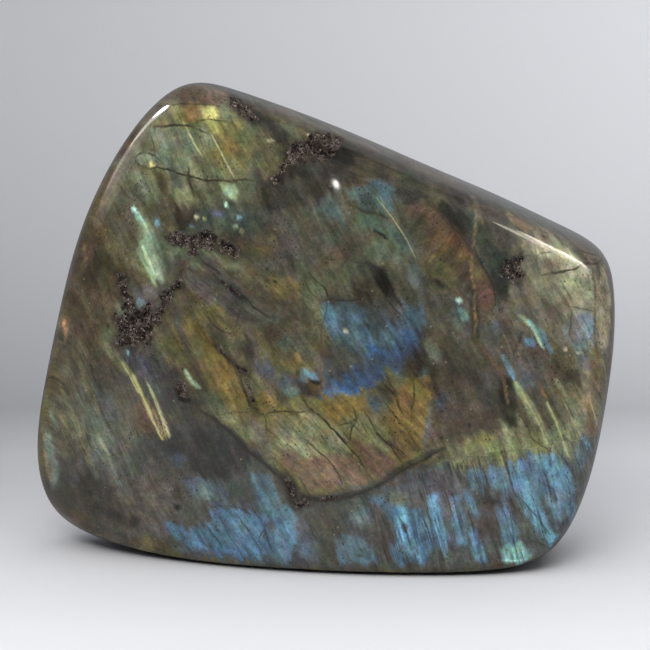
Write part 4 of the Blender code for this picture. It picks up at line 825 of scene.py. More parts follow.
# The back, seen from the front side's x: a quieter run of the same colours
REAR = [
    ("patch", TEAL, (-38.0, 92.0), 20, 9, -40, 0.7),
    ("patch", SEA_GREEN, (-52.0, 70.0), 14, 8, -55, 0.7),
    ("patch", BLUE, (6.0, 72.0), 26, 11, -28, 0.75),
    ("patch", DEEP_BLUE, (14.0, 66.0), 15, 6, -28, 0.8),
    ("patch", CYAN, (-8.0, 80.0), 8, 2.2, -30, 0.6),
    ("patch", GOLD, (38.0, 46.0), 18, 9, -40, 0.75),
    ("patch", AMBER, (33.0, 44.0), 8, 4, -40, 0.7),
    ("patch", OLIVE, (-20.0, 40.0), 18, 10, -30, 0.7),
    ("patch", PALE_SAGE, (55.0, 62.0), 10, 6, -60, 0.6),
    ("patch", BLUE, (-46.0, 28.0), 16, 8, -60, 0.7),
    ("patch", BRIGHT_BLUE, (-42.0, 24.0), 7, 3, -60, 0.7),
    ("patch", CHARCOAL, (-6.0, 20.0), 16, 6, -15, 0.7),
    ("patch", BRONZE, (22.0, 20.0), 13, 6, -35, 0.7),
    ("panel", SAGE, [(-22, 112), (-4, 104), (8, 92), (-2, 84), (-18, 92)], 0.75),
    ("panel", DARK_TEAL, [(-62, 52), (-40, 50), (-34, 40), (-52, 34), (-66, 40)], 0.8),
    ("panel", SLATE_BLUE, [(26, 86), (48, 80), (54, 70), (38, 66), (24, 74)], 0.75),
    ("streak", LIME, [(-30.0, 104.0), (-24.0, 92.0), (-20.0, 80.0)], 0.9, 0.8),
    ("streak", MINT, [(-60.0, 84.0), (-56.0, 72.0), (-50.0, 60.0)], 1.2, 0.7),
    ("streak", ORANGE, [(44.0, 54.0), (50.0, 44.0), (54.0, 34.0)], 0.9, 0.7),
    ("streak", CYAN, [(-36.0, 36.0), (-31.0, 26.0), (-27.0, 16.0)], 1.0, 0.7),
    ("streak", RUST, [(12.0, 96.0), (20.0, 80.0), (30.0, 66.0), (36.0, 50.0)], 0.8, 0.7),
]

# How far each kind of zone's edge is pulled along the lamellae
FEATHERING = {"patch": 0.9, "panel": 0.70, "streak": 0.10}
# How soft the zones' edges are: shares of a patch's size, and millimetres for the others
PATCH_EDGE, SMALL_PATCH_EDGE = 0.60, 0.45
PANEL_EDGE = 0.8
STREAK_EDGE_OUTSIDE, STREAK_EDGE_INSIDE = 0.34, 0.30
RICHNESS = 0.88           # of the zones' hues
CONTRAST = 0.36           # between the light and dark colours
MIDDLE_LIGHT = 0.125      # what the contrast leaves as it is
PIT_SHADE = 0.42          # how much the stone darkens round its pits
OUTSIDE_PITS = -1.5       # the pit distance of the stone away from them, in millimetres
FAR_FROM_LINES = 16.0     # in half widths of a line

# How the lamellae slant as they run back, in millimetres for each millimetre, and where that starts
SLANT_ACROSS = 0.8
SLANT_ALONG = 0.35
SLANT_FROM = -16.0
SLANT_FROM_BY_X = -0.07
SLANT_FROM_BY_Z = 0.125

# How far forward or back the surface looks where the face's or the back's colours start and are full
LOOKS_FORWARD = (0.05, 0.40)
LOOKS_BACK = (0.10, 0.50)

# The kinds of socket in the shared effects
FLOAT, COLOUR, VECTOR = "NodeSocketFloat", "NodeSocketColor", "NodeSocketVector"

# The studio, in metres; the paper's greys are painted shade and light, and go by how far back and up they lie
SWEEP_SIZE = (5.0, 3.0)
SWEEP_START = 0.075
SWEEP_ROUND = 0.16
SWEEP_HEIGHT = 2.4
SWEEP_STEPS = 16
PAPER_SHADE_BY_DEPTH = [(-0.07, 243), (-0.02, 230), (0.02, 209), (0.06, 192),
               (0.10, 179), (0.137, 153), (0.24, 181), (0.36, 206)]
PAPER_NEAR, PAPER_FAR = -0.10, 0.40
# painted light: the paper grows lighter to the right
PAPER_LIGHT_RIGHTWARD = 0.48    # how much lighter it grows to the right
PAPER_DIMMED = 0.58       # in the polish
ROOM_COLOUR = shade(188, 192, 202)
ROOM_LIGHT = 0.12
CAMERA_PLACE = (0.00056, -0.6113, 0.1799)
CAMERA_TILT = math.radians(79.0)
CAMERA_SENSOR, CAMERA_LENS = 36.0, 131.5
# Each light has its place, its aim, its size, its power, its tint, and whether the polish mirrors it
LIGHTS = [
    ("overhead", (-0.03, -0.20, 1.20), (0.0, 0.0, 0.0), (1.8, 1.3), 12.5, (1.0, 0.99, 0.98), False),
    ("front high", (-0.25, -0.90, 0.90), (0.0, 0.0, 0.06), (0.7, 0.4), 6.0, (1.0, 0.99, 0.97), False),
    ("left window", (-0.515, 0.045, 0.490), (-0.045, 0.0, 0.113), (0.055, 0.08), 0.30, (1.0, 0.98, 0.97),
        True),
    ("left window foot", (-0.548, 0.035, 0.440), (-0.045, 0.0, 0.113),
        (0.06, 0.13), 0.12, (1.0, 0.92, 0.90), True),
    ("left glow", (-0.603, 0.0, 0.345), (-0.055, 0.0, 0.097), (0.16, 0.20), 0.050, (1.0, 0.86, 0.82), True),
    ("left glow middle", (-0.600, 0.01, 0.360), (-0.055, 0.0, 0.097),
        (0.11, 0.17), 0.040, (1.0, 0.86, 0.82), True),
    ("left glow heart", (-0.595, 0.02, 0.375), (-0.055, 0.0, 0.097),
        (0.06, 0.14), 0.045, (1.0, 0.88, 0.85), True),
    ("right window", (0.409, -0.262, 0.500), (0.06, -0.012, 0.083),
        (0.15, 0.17), 0.80, (1.0, 0.94, 0.82), True),
    ("right glow", (0.375, -0.368, 0.444), (0.06, -0.012, 0.083), (0.24, 0.22), 0.85, (1.0, 0.93, 0.76),
        True),
    ("right sheen", (0.338, -0.488, 0.323), (0.064, -0.013, 0.079),
        (0.19, 0.21), 0.085, (1.0, 0.96, 0.80), True),
    ("right sheen heart", (0.345, -0.480, 0.330), (0.064, -0.013, 0.079),
        (0.12, 0.14), 0.045, (1.0, 0.96, 0.80), True),
    ("small lamp", (-0.032, -0.576, 0.297), (0.004, -0.011, 0.099),
        (0.006, 0.010), 0.007, (1.0, 0.98, 0.92), True),
]


def front_y(x, z):
    """The depth of the front face: it leans back, and falls away from its crown and along its foot."""
    across = FRONT_DOME_ACROSS * ((x - FRONT_CROWN_X) / DOME_REACH_X) ** 2
    up = FRONT_DOME_UP * ((z - DOME_MIDDLE_Z) / DOME_REACH_Z) ** 2
    foot = FOOT_FALL * ((x - FOOT_CROWN_X) / DOME_REACH_X) ** 2 * math.exp(-z / FOOT_FALL_HEIGHT)
    return FRONT_FOOT_Y + z * math.tan(FRONT_LEAN) + across + up + foot


def back_y(x, z):
    """The depth of the back face: upright, bulging a little below its middle."""
    across = BACK_DOME_ACROSS * ((x - BACK_CROWN_X) / DOME_REACH_X) ** 2
    bulge = BACK_BULGE * (1 - ((z - BACK_BULGE_Z) / BACK_BULGE_Z) ** 2)
    return BACK_FOOT_Y + bulge - across


def blend(a, b, share):
    return a + (b - a) * share


def outline():
    """The outline's points going round from the left foot, each with its front and back roll."""
    sides = [("foot", FOOT_SIDE), ("right", RIGHT_SIDE), ("top", TOP_SIDE[::-1]), ("left", LEFT_SIDE[::-1])]
    points = []
    for number, (side, places) in enumerate(sides):
        before = sides[number - 1][0]
        for step, place in enumerate(places[:-1]):
            share = 0.5 if step == 0 else 1.0
            rolls = [blend(roll[before], roll[side], share) for roll in (FRONT_ROLL, BACK_ROLL)]
            points.append((Vector(place), *rolls))
    return points


def ring(points, level):
    """One layer's outline, drawn in by its roll and set at its depth."""
    placed = []
    for index, (place, front_roll, back_roll) in enumerate(points):
        along = (points[(index + 1) % len(points)][0] - points[index - 1][0]).normalized()
        inward = Vector((-along.y, along.x))
        on_foot = place.y < 1.0
        kept = 0.0 if on_foot and level not in (0, LAYERS) else ROLL_KEPT[level]
        spot = place + inward * (front_roll if level < LAYERS / 2 else back_roll) * kept
        front, back = front_y(*spot), back_y(*spot)
        depths = [*(front + share * front_roll for share in EDGE_LAYERS),
                  *(blend(front, back, share) for share in MIDDLE_LAYERS),
                  *(back - share * back_roll for share in EDGE_LAYERS[::-1])]
        placed.append(Vector((spot.x, depths[level], spot.y)))
    return placed


def face_grid(border, depth_at):
    """The points of a face inside its border, in rows from the foot to the top."""
    foot, right = border[: COLUMNS + 1], border[COLUMNS : COLUMNS + ROWS + 1]
    top = border[COLUMNS + ROWS : 2 * COLUMNS + ROWS + 1][::-1]
    left = [*border[2 * COLUMNS + ROWS :], border[0]][::-1]
    places = {}
    for row in range(ROWS + 1):
        t = row / ROWS
        for column in range(COLUMNS + 1):
            s = column / COLUMNS
            flat = (foot[column] * (1 - t) + top[column] * t + left[row] * (1 - s) + right[row] * s
                    - (foot[0] * (1 - s) + foot[-1] * s) * (1 - t) - (top[0] * (1 - s) + top[-1] * s) * t)
            edge = column in (0, COLUMNS) or row in (0, ROWS)
            places[column, row] = Vector((flat.x, flat.y if edge else depth_at(flat.x, flat.z), flat.z))
    return places


def lattice_places():
    """Where each point of the sawn block goes, by its column, row and layer."""
    points = outline()
    rings = [ring(points, level) for level in range(LAYERS + 1)]
    border = ([(i, 0) for i in range(COLUMNS)] + [(COLUMNS, j) for j in range(ROWS)]
              + [(i, ROWS) for i in range(COLUMNS, 0, -1)] + [(0, j) for j in range(ROWS, 0, -1)])
    places = {}
    for level, placed in enumerate(rings):
        for (column, row), spot in zip(border, placed):
            places[column, row, level] = spot
    for level, depth_at in ((0, front_y), (LAYERS, back_y)):
        for (column, row), spot in face_grid(rings[level], depth_at).items():
            places[column, row, level] = spot
    return places


def select_only(*objects):
    bpy.ops.object.select_all(action="DESELECT")
    for thing in objects:
        thing.select_set(True)
    bpy.context.view_layer.objects.active = objects[-1]


def edit_points(thing):
    points = bmesh.from_edit_mesh(thing.data)
    points.verts.ensure_lookup_table()
    return points


def sawn_block():
    """A block sawn into a lattice, each of its points drawn to its place on the stone."""
    bpy.ops.object.select_all(action="DESELECT")
    bpy.ops.mesh.primitive_cube_add(size=1, location=(0, 0, 0))
    block = bpy.context.object
    block.name = "polished_labradorite"
    block.scale = (COLUMNS * CELL * MM, LAYERS * LAYER_CELL * MM, ROWS * CELL * MM)
    bpy.ops.object.transform_apply(location=False, rotation=False, scale=True)
    bpy.ops.object.mode_set(mode="EDIT")
    for axis, cells, cell in ((0, COLUMNS, CELL), (2, ROWS, CELL), (1, LAYERS, LAYER_CELL)):
        for cut in range(1, cells):
            spot, normal = [0.0] * 3, [0.0] * 3
            spot[axis], normal[axis] = (cut - cells / 2) * cell * MM, 1.0
            bpy.ops.mesh.select_all(action="SELECT")
            bpy.ops.mesh.bisect(plane_co=spot, plane_no=normal)
    places = lattice_places()
    moves = []
    for vertex in edit_points(block).verts:
        column = round(vertex.co.x / (CELL * MM) + COLUMNS / 2)
        row = round(vertex.co.z / (CELL * MM) + ROWS / 2)
        level = round(vertex.co.y / (LAYER_CELL * MM) + LAYERS / 2)
        moves.append((vertex.index, (column, row, level), places[column, row, level] * MM - vertex.co))
    bpy.ops.mesh.select_mode(type="VERT")
    for index, _, move in moves:
        bpy.ops.mesh.select_all(action="DESELECT")
        points = edit_points(block)
        points.verts[index].select_set(True)
        points.select_flush_mode()
        bpy.ops.transform.translate(value=move)
    bpy.ops.mesh.select_all(action="DESELECT")
    crisp = {index for index, (column, row, level), _ in moves
             if level == 0 and (column == COLUMNS or row == ROWS)}
    for edge in edit_points(block).edges:
        edge.select_set(edge.verts[0].index in crisp and edge.verts[1].index in crisp)
    bpy.ops.transform.edge_crease(value=BEVEL_CREASE)
    bpy.ops.mesh.select_all(action="SELECT")
    bpy.ops.mesh.normals_make_consistent(inside=False)
    bpy.ops.object.mode_set(mode="OBJECT")
    return block


def vertex_table(mesh, name):
    table = np.empty(len(mesh.vertices) * 3)
    getattr(mesh, name).foreach_get("vector" if name == "vertex_normals" else "co", table)
    return table.reshape(-1, 3)


def round_stone(block):
    """Rounds the block, stands it where the solid stands, and gives the front face finer squares."""
    select_only(block)
    rounding = block.modifiers.new("rounding", "SUBSURF")
    rounding.levels = rounding.render_levels = ROUNDING_LEVELS
    bpy.ops.object.modifier_apply(modifier="rounding")
    bpy.ops.object.shade_smooth()
    co = vertex_table(block.data, "vertices")
    low, high = co.min(axis=0), co.max(axis=0)
    shift = ((cad_box[0][0] + cad_box[1][0] - low[0] - high[0]) / 2,
             (cad_box[0][1] + cad_box[1][1] - low[1] - high[1]) / 2, -low[2])
    bpy.ops.transform.translate(value=shift)
    bpy.ops.object.transform_apply(location=True, rotation=False, scale=False)
    bpy.ops.object.mode_set(mode="EDIT")
    bpy.ops.mesh.select_all(action="DESELECT")
    faces = bmesh.from_edit_mesh(block.data)
    for face in faces.faces:
        face.select_set(face.normal.y < FINE_TILT and face.calc_center_median().z > FINE_FROM * MM)
    bmesh.update_edit_mesh(block.data)
    bpy.ops.mesh.subdivide(number_cuts=1, smoothness=1.0)
    bpy.ops.mesh.select_all(action="SELECT")
    bpy.ops.mesh.quads_convert_to_tris()
    bpy.ops.object.mode_set(mode="OBJECT")
    bpy.ops.object.shade_smooth()
    return block


def waver(seed, *parts):
    """Smooth noise from -1 to 1 at points whose three numbers are given apart."""
    points = np.stack(parts, axis=1)
    base = np.floor(points).astype(np.int64)
    part = points - base
    ease = part ** 3 * (part * (part * 6 - 15) + 10)
    total = np.zeros(len(points))
    for corner in range(8):
        step = np.array([corner & 1, corner >> 1 & 1, corner >> 2])
        cell = base + step
        mixed = (cell @ np.array([374761393, 668265263, 1440670441]) + seed * 974634777) & 0xFFFFFFFF
        mixed = ((mixed ^ (mixed >> 13)) * 1274126177) & 0xFFFFFFFF
        height = ((mixed ^ (mixed >> 16)) & 0xFFFF) / 32767.5 - 1
        total += height * np.prod(np.where(step == 1, ease, 1 - ease), axis=1)
    return total


def ease_between(value, low, high):
    share = np.clip((value - low) / (high - low), 0.0, 1.0)
    return share * share * (3 - 2 * share)


def distance_to_line(x, z, line):
    """Each point's distance to a line, less than nothing on its left side, and how far along it lies."""
    nearest = np.full(len(x), 1e9)
    side = np.ones(len(x))
    along = np.zeros(len(x))
    lengths = [math.dist(a, b) for a, b in zip(line, line[1:])]
    start = 0.0
    for (ax, az), (bx, bz), length in zip(line, line[1:], lengths):
        share = np.clip(((x - ax) * (bx - ax) + (z - az) * (bz - az)) / length ** 2, 0, 1)
        away = np.hypot(x - ax - share * (bx - ax), z - az - share * (bz - az))
        closer = away < nearest
        nearest = np.where(closer, away, nearest)
        turned = np.where((x - ax) * (bz - az) - (z - az) * (bx - ax) > 0, 1.0, -1.0)
        side = np.where(closer, turned, side)
        along = np.where(closer, (start + share * length) / sum(lengths), along)
        start += length
    return nearest, side, along


def depth_in_panel(x, z, corners):
    """Each point's distance inside a panel's edge, less than nothing outside it."""
    ring_line = [*corners, corners[0]]
    nearest, _, _ = distance_to_line(x, z, ring_line)
    inside = np.zeros(len(x), dtype=bool)
    for (ax, az), (bx, bz) in zip(ring_line, ring_line[1:]):
        spans = (az > z) != (bz > z)
        with np.errstate(divide="ignore", invalid="ignore"):
            crossing = (bx - ax) * (z - az) / (bz - az) + ax
        inside ^= spans & (x < crossing)
    return np.where(inside, nearest, -nearest)


def cover(zone, x, z, drift):
    """How fully a zone of paint covers each point."""
    kind = zone[0]
    if kind == "patch":
        _, _, (mx, mz), half_length, half_width, turn, strength = zone
        c, s = math.cos(math.radians(turn)), math.sin(math.radians(turn))
        u, v = (x - mx) * c + (z - mz) * s, (z - mz) * c - (x - mx) * s
        away = np.hypot(u / half_length, v / half_width)
        size = min(half_length, half_width)
        edge = PATCH_EDGE if size > 1.0 else SMALL_PATCH_EDGE
        return strength * ease_between(-(away + drift * min(0.35, 0.9 / size)), -1 - edge, -1 + edge)
    if kind == "panel":
        _, _, corners, strength = zone
        return strength * ease_between(depth_in_panel(x, z, corners) + drift * 0.55, -PANEL_EDGE, PANEL_EDGE)
    _, _, line, width, strength = zone
    away, _, along = distance_to_line(x, z, line)
    half = width / 2 * (0.35 + 0.65 * np.sin(np.pi * np.clip(along, 0.02, 0.98)) ** 0.5)
    return strength * ease_between(-(away + drift * width * 0.15),
                                   -half - STREAK_EDGE_OUTSIDE, -half + STREAK_EDGE_INSIDE)


def reach(zone):
    """The box that holds all that a zone can cover."""
    if zone[0] == "patch":
        (mx, mz), size = zone[2], max(zone[3], zone[4]) * 1.6 + 0.8
        return mx - size, mx + size, mz - size, mz + size
    xs, zs = zip(*zone[2])
    more = 1.6 if zone[0] == "panel" else zone[3] + 1.2
    return min(xs) - more, max(xs) + more, min(zs) - more, max(zs) + more


def paint_zones(colour, zones, x, z, where, drift, feather, thinning):
    """Lays the zones one over another, their edges feathered along the lamellae."""
    for zone in zones:
        left, right, low, high = reach(zone)
        size = min(right - left, high - low) - 2.5
        near = where & (x > left - 2) & (x < right + 2) & (z > low - 2) & (z < high + 2)
        if near.any():
            pull = min(1.0, max(0.08, size / 11)) * FEATHERING[zone[0]]
            at_x, at_z = x[near] + feather[0][near] * pull, z[near] + feather[1][near] * pull
            covered = (cover(zone, at_x, at_z, drift[near]) * thinning[near])[:, None]
            grey = sum(zone[1]) / 3
            tint = grey + (np.array(zone[1]) - grey) * RICHNESS
            colour[near] = colour[near] * (1 - covered) + tint * covered


def lamella_frame(x, z):
    """How far each point lies across and along the lamellae, in millimetres, its region and its streaks."""
    turn, region = np.full(len(x), LAMELLA_TURN), np.zeros(len(x))
    streaked = np.full(len(x), LAMELLA_STREAKS)
    for number, (angle, streaks, corners) in enumerate(LAMELLA_PANELS):
        deep = depth_in_panel(x, z, corners)
        turn[deep > 0], region[deep > 0] = angle, number + 1
        streaked += (streaks - streaked) * ease_between(deep, -5.0, 3.0)
    turn = np.radians(turn)
    along = x * np.cos(turn) + z * np.sin(turn)
    across = z * np.cos(turn) - x * np.sin(turn)
    return across, along, region, streaked


def line_table(lines, x, z):
    """The signed distance to the nearest line, in whole half widths, and how strongly the line shows."""
    offset, mask = np.full(len(x), FAR_FROM_LINES), np.zeros(len(x))
    nearest = np.full(len(x), 1e9)
    for line, width, strength in lines:
        xs, zs = zip(*line)
        near = (x > min(xs) - 1.6) & (x < max(xs) + 1.6) & (z > min(zs) - 1.6) & (z < max(zs) + 1.6)
        if not near.any():
            continue
        away, side, along = distance_to_line(x[near], z[near], line)
        closer = away < nearest[near]
        rows = np.flatnonzero(near)[closer]
        nearest[rows] = away[closer]
        offset[rows] = np.trunc((away * side)[closer] / (width / 2))
        taper = 0.45 + 0.55 * np.sin(np.pi * along[closer]) ** 0.6
        mask[rows] = strength * taper * ease_between(-away[closer], -1.3, -0.7)
    return offset, mask


def pit_depths(x, z):
    """How deep each pit is at each point, in millimetres, and how far the point lies inside its edge."""
    depth, inside = np.zeros(len(x)), np.full(len(x), OUTSIDE_PITS)
    wobble = 0.55 * waver(5, x * 0.45, z * 0.45, z * 0) + 0.45 * waver(6, x * 1.3, z * 1.3, z * 0)
    for lumps in PITS.values():
        for mx, mz, half_length, half_width, deep, turn in lumps:
            near = np.hypot(x - mx, z - mz) < half_length * 1.8 + 2
            if not near.any():
                continue
            c, s = math.cos(math.radians(turn)), math.sin(math.radians(turn))
            u = ((x - mx) * c + (z - mz) * s)[near] / half_length
            v = ((z - mz) * c - (x - mx) * s)[near] / half_width
            away = np.hypot(u, v) + wobble[near] * PIT_EDGE_WAVER
            depth[near] = np.maximum(depth[near], deep * ease_between(-away, -1.0, -0.45))
            inside[near] = np.maximum(inside[near], (1.05 - away) * min(half_length, half_width, 2.0))
    return depth, inside


def paint_stone(stone):
    """Sinks the pits and lays the colours, cracks and lamella directions into the stone's attributes."""
    mesh = stone.data
    co = vertex_table(mesh, "vertices")
    normal = vertex_table(mesh, "vertex_normals")
    x, y, z = (co / MM).T
    front = ease_between(-normal[:, 1], *LOOKS_FORWARD)
    back = ease_between(normal[:, 1], *LOOKS_BACK)
    across, along, region, streaked = lamella_frame(x, z)
    behind = np.maximum(0.0, y - SLANT_FROM - SLANT_FROM_BY_X * x - SLANT_FROM_BY_Z * z)
    across, along = across + SLANT_ACROSS * behind, along + SLANT_ALONG * behind
    drift = (0.65 * waver(1, across * 0.9, along * 0.16, region)
             + 0.55 * waver(2, x * 0.42, z * 0.42, y * 0.2))
    pulled = (2.8 * waver(3, across * 1.1, along * 0.08, region + 3.3)
              + 1.6 * waver(4, across * 0.30, along * 0.07, region + 7.7))
    swayed = 0.6 * waver(8, x * 0.22, z * 0.22, y * 0.1) + 0.25 * waver(9, x * 0.7, z * 0.7, y * 0.1)
    thinning = np.clip(0.94 + 0.20 * waver(12, x * 0.4, z * 0.4, y * 0.1)
                       + 0.34 * waver(13, across * 0.9, along * 0.10, region), 0.40, 1.0)
    c, s = math.cos(math.radians(LAMELLA_TURN)), math.sin(math.radians(LAMELLA_TURN))
    feather = (pulled * c - swayed * s, pulled * s + swayed * c)

    def body(seed, tones):
        mixed = np.tile(np.array(tones[0]), (len(x), 1))
        for number, tone in enumerate(tones[1:]):
            reads = np.array([across * 0.11, along * 0.035, y * 0.03 + number * 9.1])
            field = waver(seed + number, *reads) + 0.4 * waver(seed + number + 30, *(reads * 3.1))
            share = ease_between(field, 0.05, 0.45)[:, None]
            mixed = mixed * (1 - share) + np.array(tone) * share
        return mixed

    face = body(10, [BODY, STONE_GREY, BROWN, OLIVE, TAUPE])
    paint_zones(face, FACE, x, z, front > 0, drift, feather, thinning)
    rear = body(40, [BODY, STONE_GREY, DARK_OLIVE, TAUPE])
    paint_zones(rear, REAR, x, z, back > 0, drift, feather, thinning)
    sides = body(60, [STONE_GREY, BROWN, BODY, TAUPE, ASH])
    colour = sides * (1 - front - back)[:, None] + face * front[:, None] + rear * back[:, None]
    colour *= (colour.mean(axis=1, keepdims=True) / MIDDLE_LIGHT) ** CONTRAST

    bent_x, bent_z = (way + 0.35 * waver(seed, x * 0.30, z * 0.30, x * 0) for way, seed in ((x, 21), (z, 22)))
    crack, crack_mask = line_table(CRACKS, bent_x, bent_z)
    glint, glint_mask = line_table(GLINTS, x, z)
    depth, pit = pit_depths(x, z)
    depth, pit = depth * front, np.where(front > 0.5, pit, OUTSIDE_PITS)
    colour *= 1 - PIT_SHADE * ease_between(pit, OUTSIDE_PITS + 0.05, 0.2)[:, None]
    rough = waver(31, x * 0.9, z * 0.9, y * 0.9) * 0.35
    sunk = co - normal * (depth * (1 + rough) * MM)[:, None]
    mesh.vertices.foreach_set("co", sunk.ravel())

    light = colour.max(axis=1)
    vivid = ease_between((light - colour.min(axis=1)) / np.maximum(light, 1e-4), 0.45, 0.85)
    blank = np.zeros(len(x))
    for name, kind, columns in (
        ("stone_colour", "FLOAT_COLOR", (*colour.T, blank + 1)),
        ("lamella", "FLOAT_VECTOR", (across, along, region)),
        ("crack", "FLOAT_VECTOR", (crack, crack_mask * front, blank)),
        ("glint", "FLOAT_VECTOR", (glint, glint_mask * front, blank)),
        ("pit", "FLOAT", (pit,)),
        ("streaked", "FLOAT", (streaked,)),
        ("flash", "FLOAT", (vivid * np.maximum(front, back),)),
    ):
        layer = mesh.attributes.new(name, kind, "POINT")
        field = {"FLOAT_COLOR": "color", "FLOAT_VECTOR": "vector", "FLOAT": "value"}[kind]
        layer.data.foreach_set(field, np.stack(columns, axis=1).astype(np.float32).ravel())
    mesh.update()


def place(tree, kind, values=(), **settings):
    """Adds a node, with its settings and its sockets' values or links."""
    node = tree.nodes.new(kind)
    for name, value in settings.items():
        setattr(node, name, value)
    for socket, value in dict(values).items():
        if isinstance(value, bpy.types.NodeSocket):
            tree.links.new(value, node.inputs[socket])
        else:
            node.inputs[socket].default_value = value
    return node


def reckon(tree, operation, *values):
    return place(tree, "ShaderNodeMath", dict(enumerate(values)), operation=operation).outputs[0]


def times(tree, first, *others):
    for other in others:
        first = reckon(tree, "MULTIPLY", first, other)
    return first


def scaled(tree, vector, factor):
    return place(tree, "ShaderNodeVectorMath", {0: vector, 3: factor}, operation="SCALE").outputs[0]


def near_middle(tree, value, low, high):
    """A thin band where a noise passes through its middle value."""
    return fade(tree, reckon(tree, "ABSOLUTE", reckon(tree, "SUBTRACT", value, 0.5)), low, high, 1.0, 0.0)


def fade(tree, value, low, high, start=0.0, end=1.0):
    ranged = place(tree, "ShaderNodeMapRange", {0: value, 1: low, 2: high, 3: start, 4: end})
    return ranged.outputs[0]


def mix(tree, share, a, b):
    return place(tree, "ShaderNodeMix", {0: share, 6: a, 7: b}, data_type="RGBA").outputs[2]


def stretch(tree, vector, scale, shift=(0, 0, 0)):
    return place(tree, "ShaderNodeMapping", {"Vector": vector, "Scale": scale, "Location": shift}).outputs[0]


def noise_at(tree, vector, scale, detail=2.0, roughness=0.5):
    values = {"Vector": vector, "Scale": scale, "Detail": detail, "Roughness": roughness}
    return place(tree, "ShaderNodeTexNoise", values).outputs[0]


def effect(name, inputs, outputs):
    """An empty node group with its named inputs and outputs."""
    group = bpy.data.node_groups.new(name, "ShaderNodeTree")
    for label, (kind, value) in inputs.items():
        socket = group.interface.new_socket(label, in_out="INPUT", socket_type=kind)
        if value is not None:
            socket.default_value = value
    for label, kind in outputs.items():
        group.interface.new_socket(label, in_out="OUTPUT", socket_type=kind)
    return group, group.nodes.new("NodeGroupInput").outputs, group.nodes.new("NodeGroupOutput").inputs


def lamella_effect():
    """Fine parallel streaks and blades that lighten and darken a colour along the lamellae."""
    group, take, give = effect("lamella streaks", {
        "Colour": (COLOUR, (0.1, 0.1, 0.1, 1)), "Lamella": (VECTOR, None), "Fine": (FLOAT, 0.5),
        "Broad": (FLOAT, 0.4), "Blades": (FLOAT, 0.4), "Hairs": (FLOAT, 0.5), "Dulling": (FLOAT, 0.5)},
        {"Colour": COLOUR, "Height": FLOAT})
    spot = place(group, "ShaderNodeTexCoord").outputs["Object"]
    sway = place(group, "ShaderNodeTexNoise", {"Vector": spot, "Scale": 70.0, "Detail": 2.0}).outputs["Color"]
    bent = place(group, "ShaderNodeVectorMath", {0: sway, 1: (1.4, 1.4, 0.0), 2: take["Lamella"]},
                 operation="MULTIPLY_ADD").outputs[0]
    fine = noise_at(group, stretch(group, bent, (1.5, 0.20, 7.3)), 1.0, 3.0, 0.6)
    broad = noise_at(group, stretch(group, bent, (0.38, 0.075, 3.1)), 1.0, 4.0, 0.6)
    blades = place(group, "ShaderNodeTexVoronoi", {
        "Vector": stretch(group, bent, (0.42, 0.14, 5.7)), "Scale": 1.0, "Randomness": 1.0}).outputs["Color"]
    blade = place(group, "ShaderNodeSeparateColor", {0: blades}).outputs[0]
    here = fade(group, noise_at(group, spot, 55.0), 0.42, 0.60)
    shifts = [
        times(group, fade(group, fine, 0.32, 0.68, -1.0, 1.0), times(group, take["Fine"], here)),
        times(group, fade(group, broad, 0.32, 0.68, -1.0, 1.0), take["Broad"]),
        times(group, fade(group, blade, 0.0, 1.0, -1.0, 1.0), take["Blades"])]
    total = reckon(group, "ADD", reckon(group, "ADD", shifts[0], shifts[1]), shifts[2])
    lit = scaled(group, take["Colour"], reckon(group, "POWER", 2.0, total))
    dulled = fade(group, noise_at(group, stretch(group, bent, (0.62, 0.10, 6.1)), 1.0, 5.0, 0.68), 0.46, 0.70)
    lit = mix(group, times(group, dulled, take["Dulling"]), lit, full(66, 64, 57))
    for width, length, seed in ((0.55, 0.028, 2.9), (1.15, 0.060, 8.3)):
        path = noise_at(group, stretch(group, bent, (width, length, seed)), 1.0, 1.0)
        hair = near_middle(group, path, 0.006, 0.024)
        some = fade(group, noise_at(group, stretch(group, bent, (0.3, 0.12, seed)), 1.0, 2.0), 0.46, 0.56)
        lit = mix(group, times(group, hair, some, take["Hairs"]), lit, full(44, 41, 34))
    group.links.new(lit, give["Colour"])
    group.links.new(fine, give["Height"])
    return group


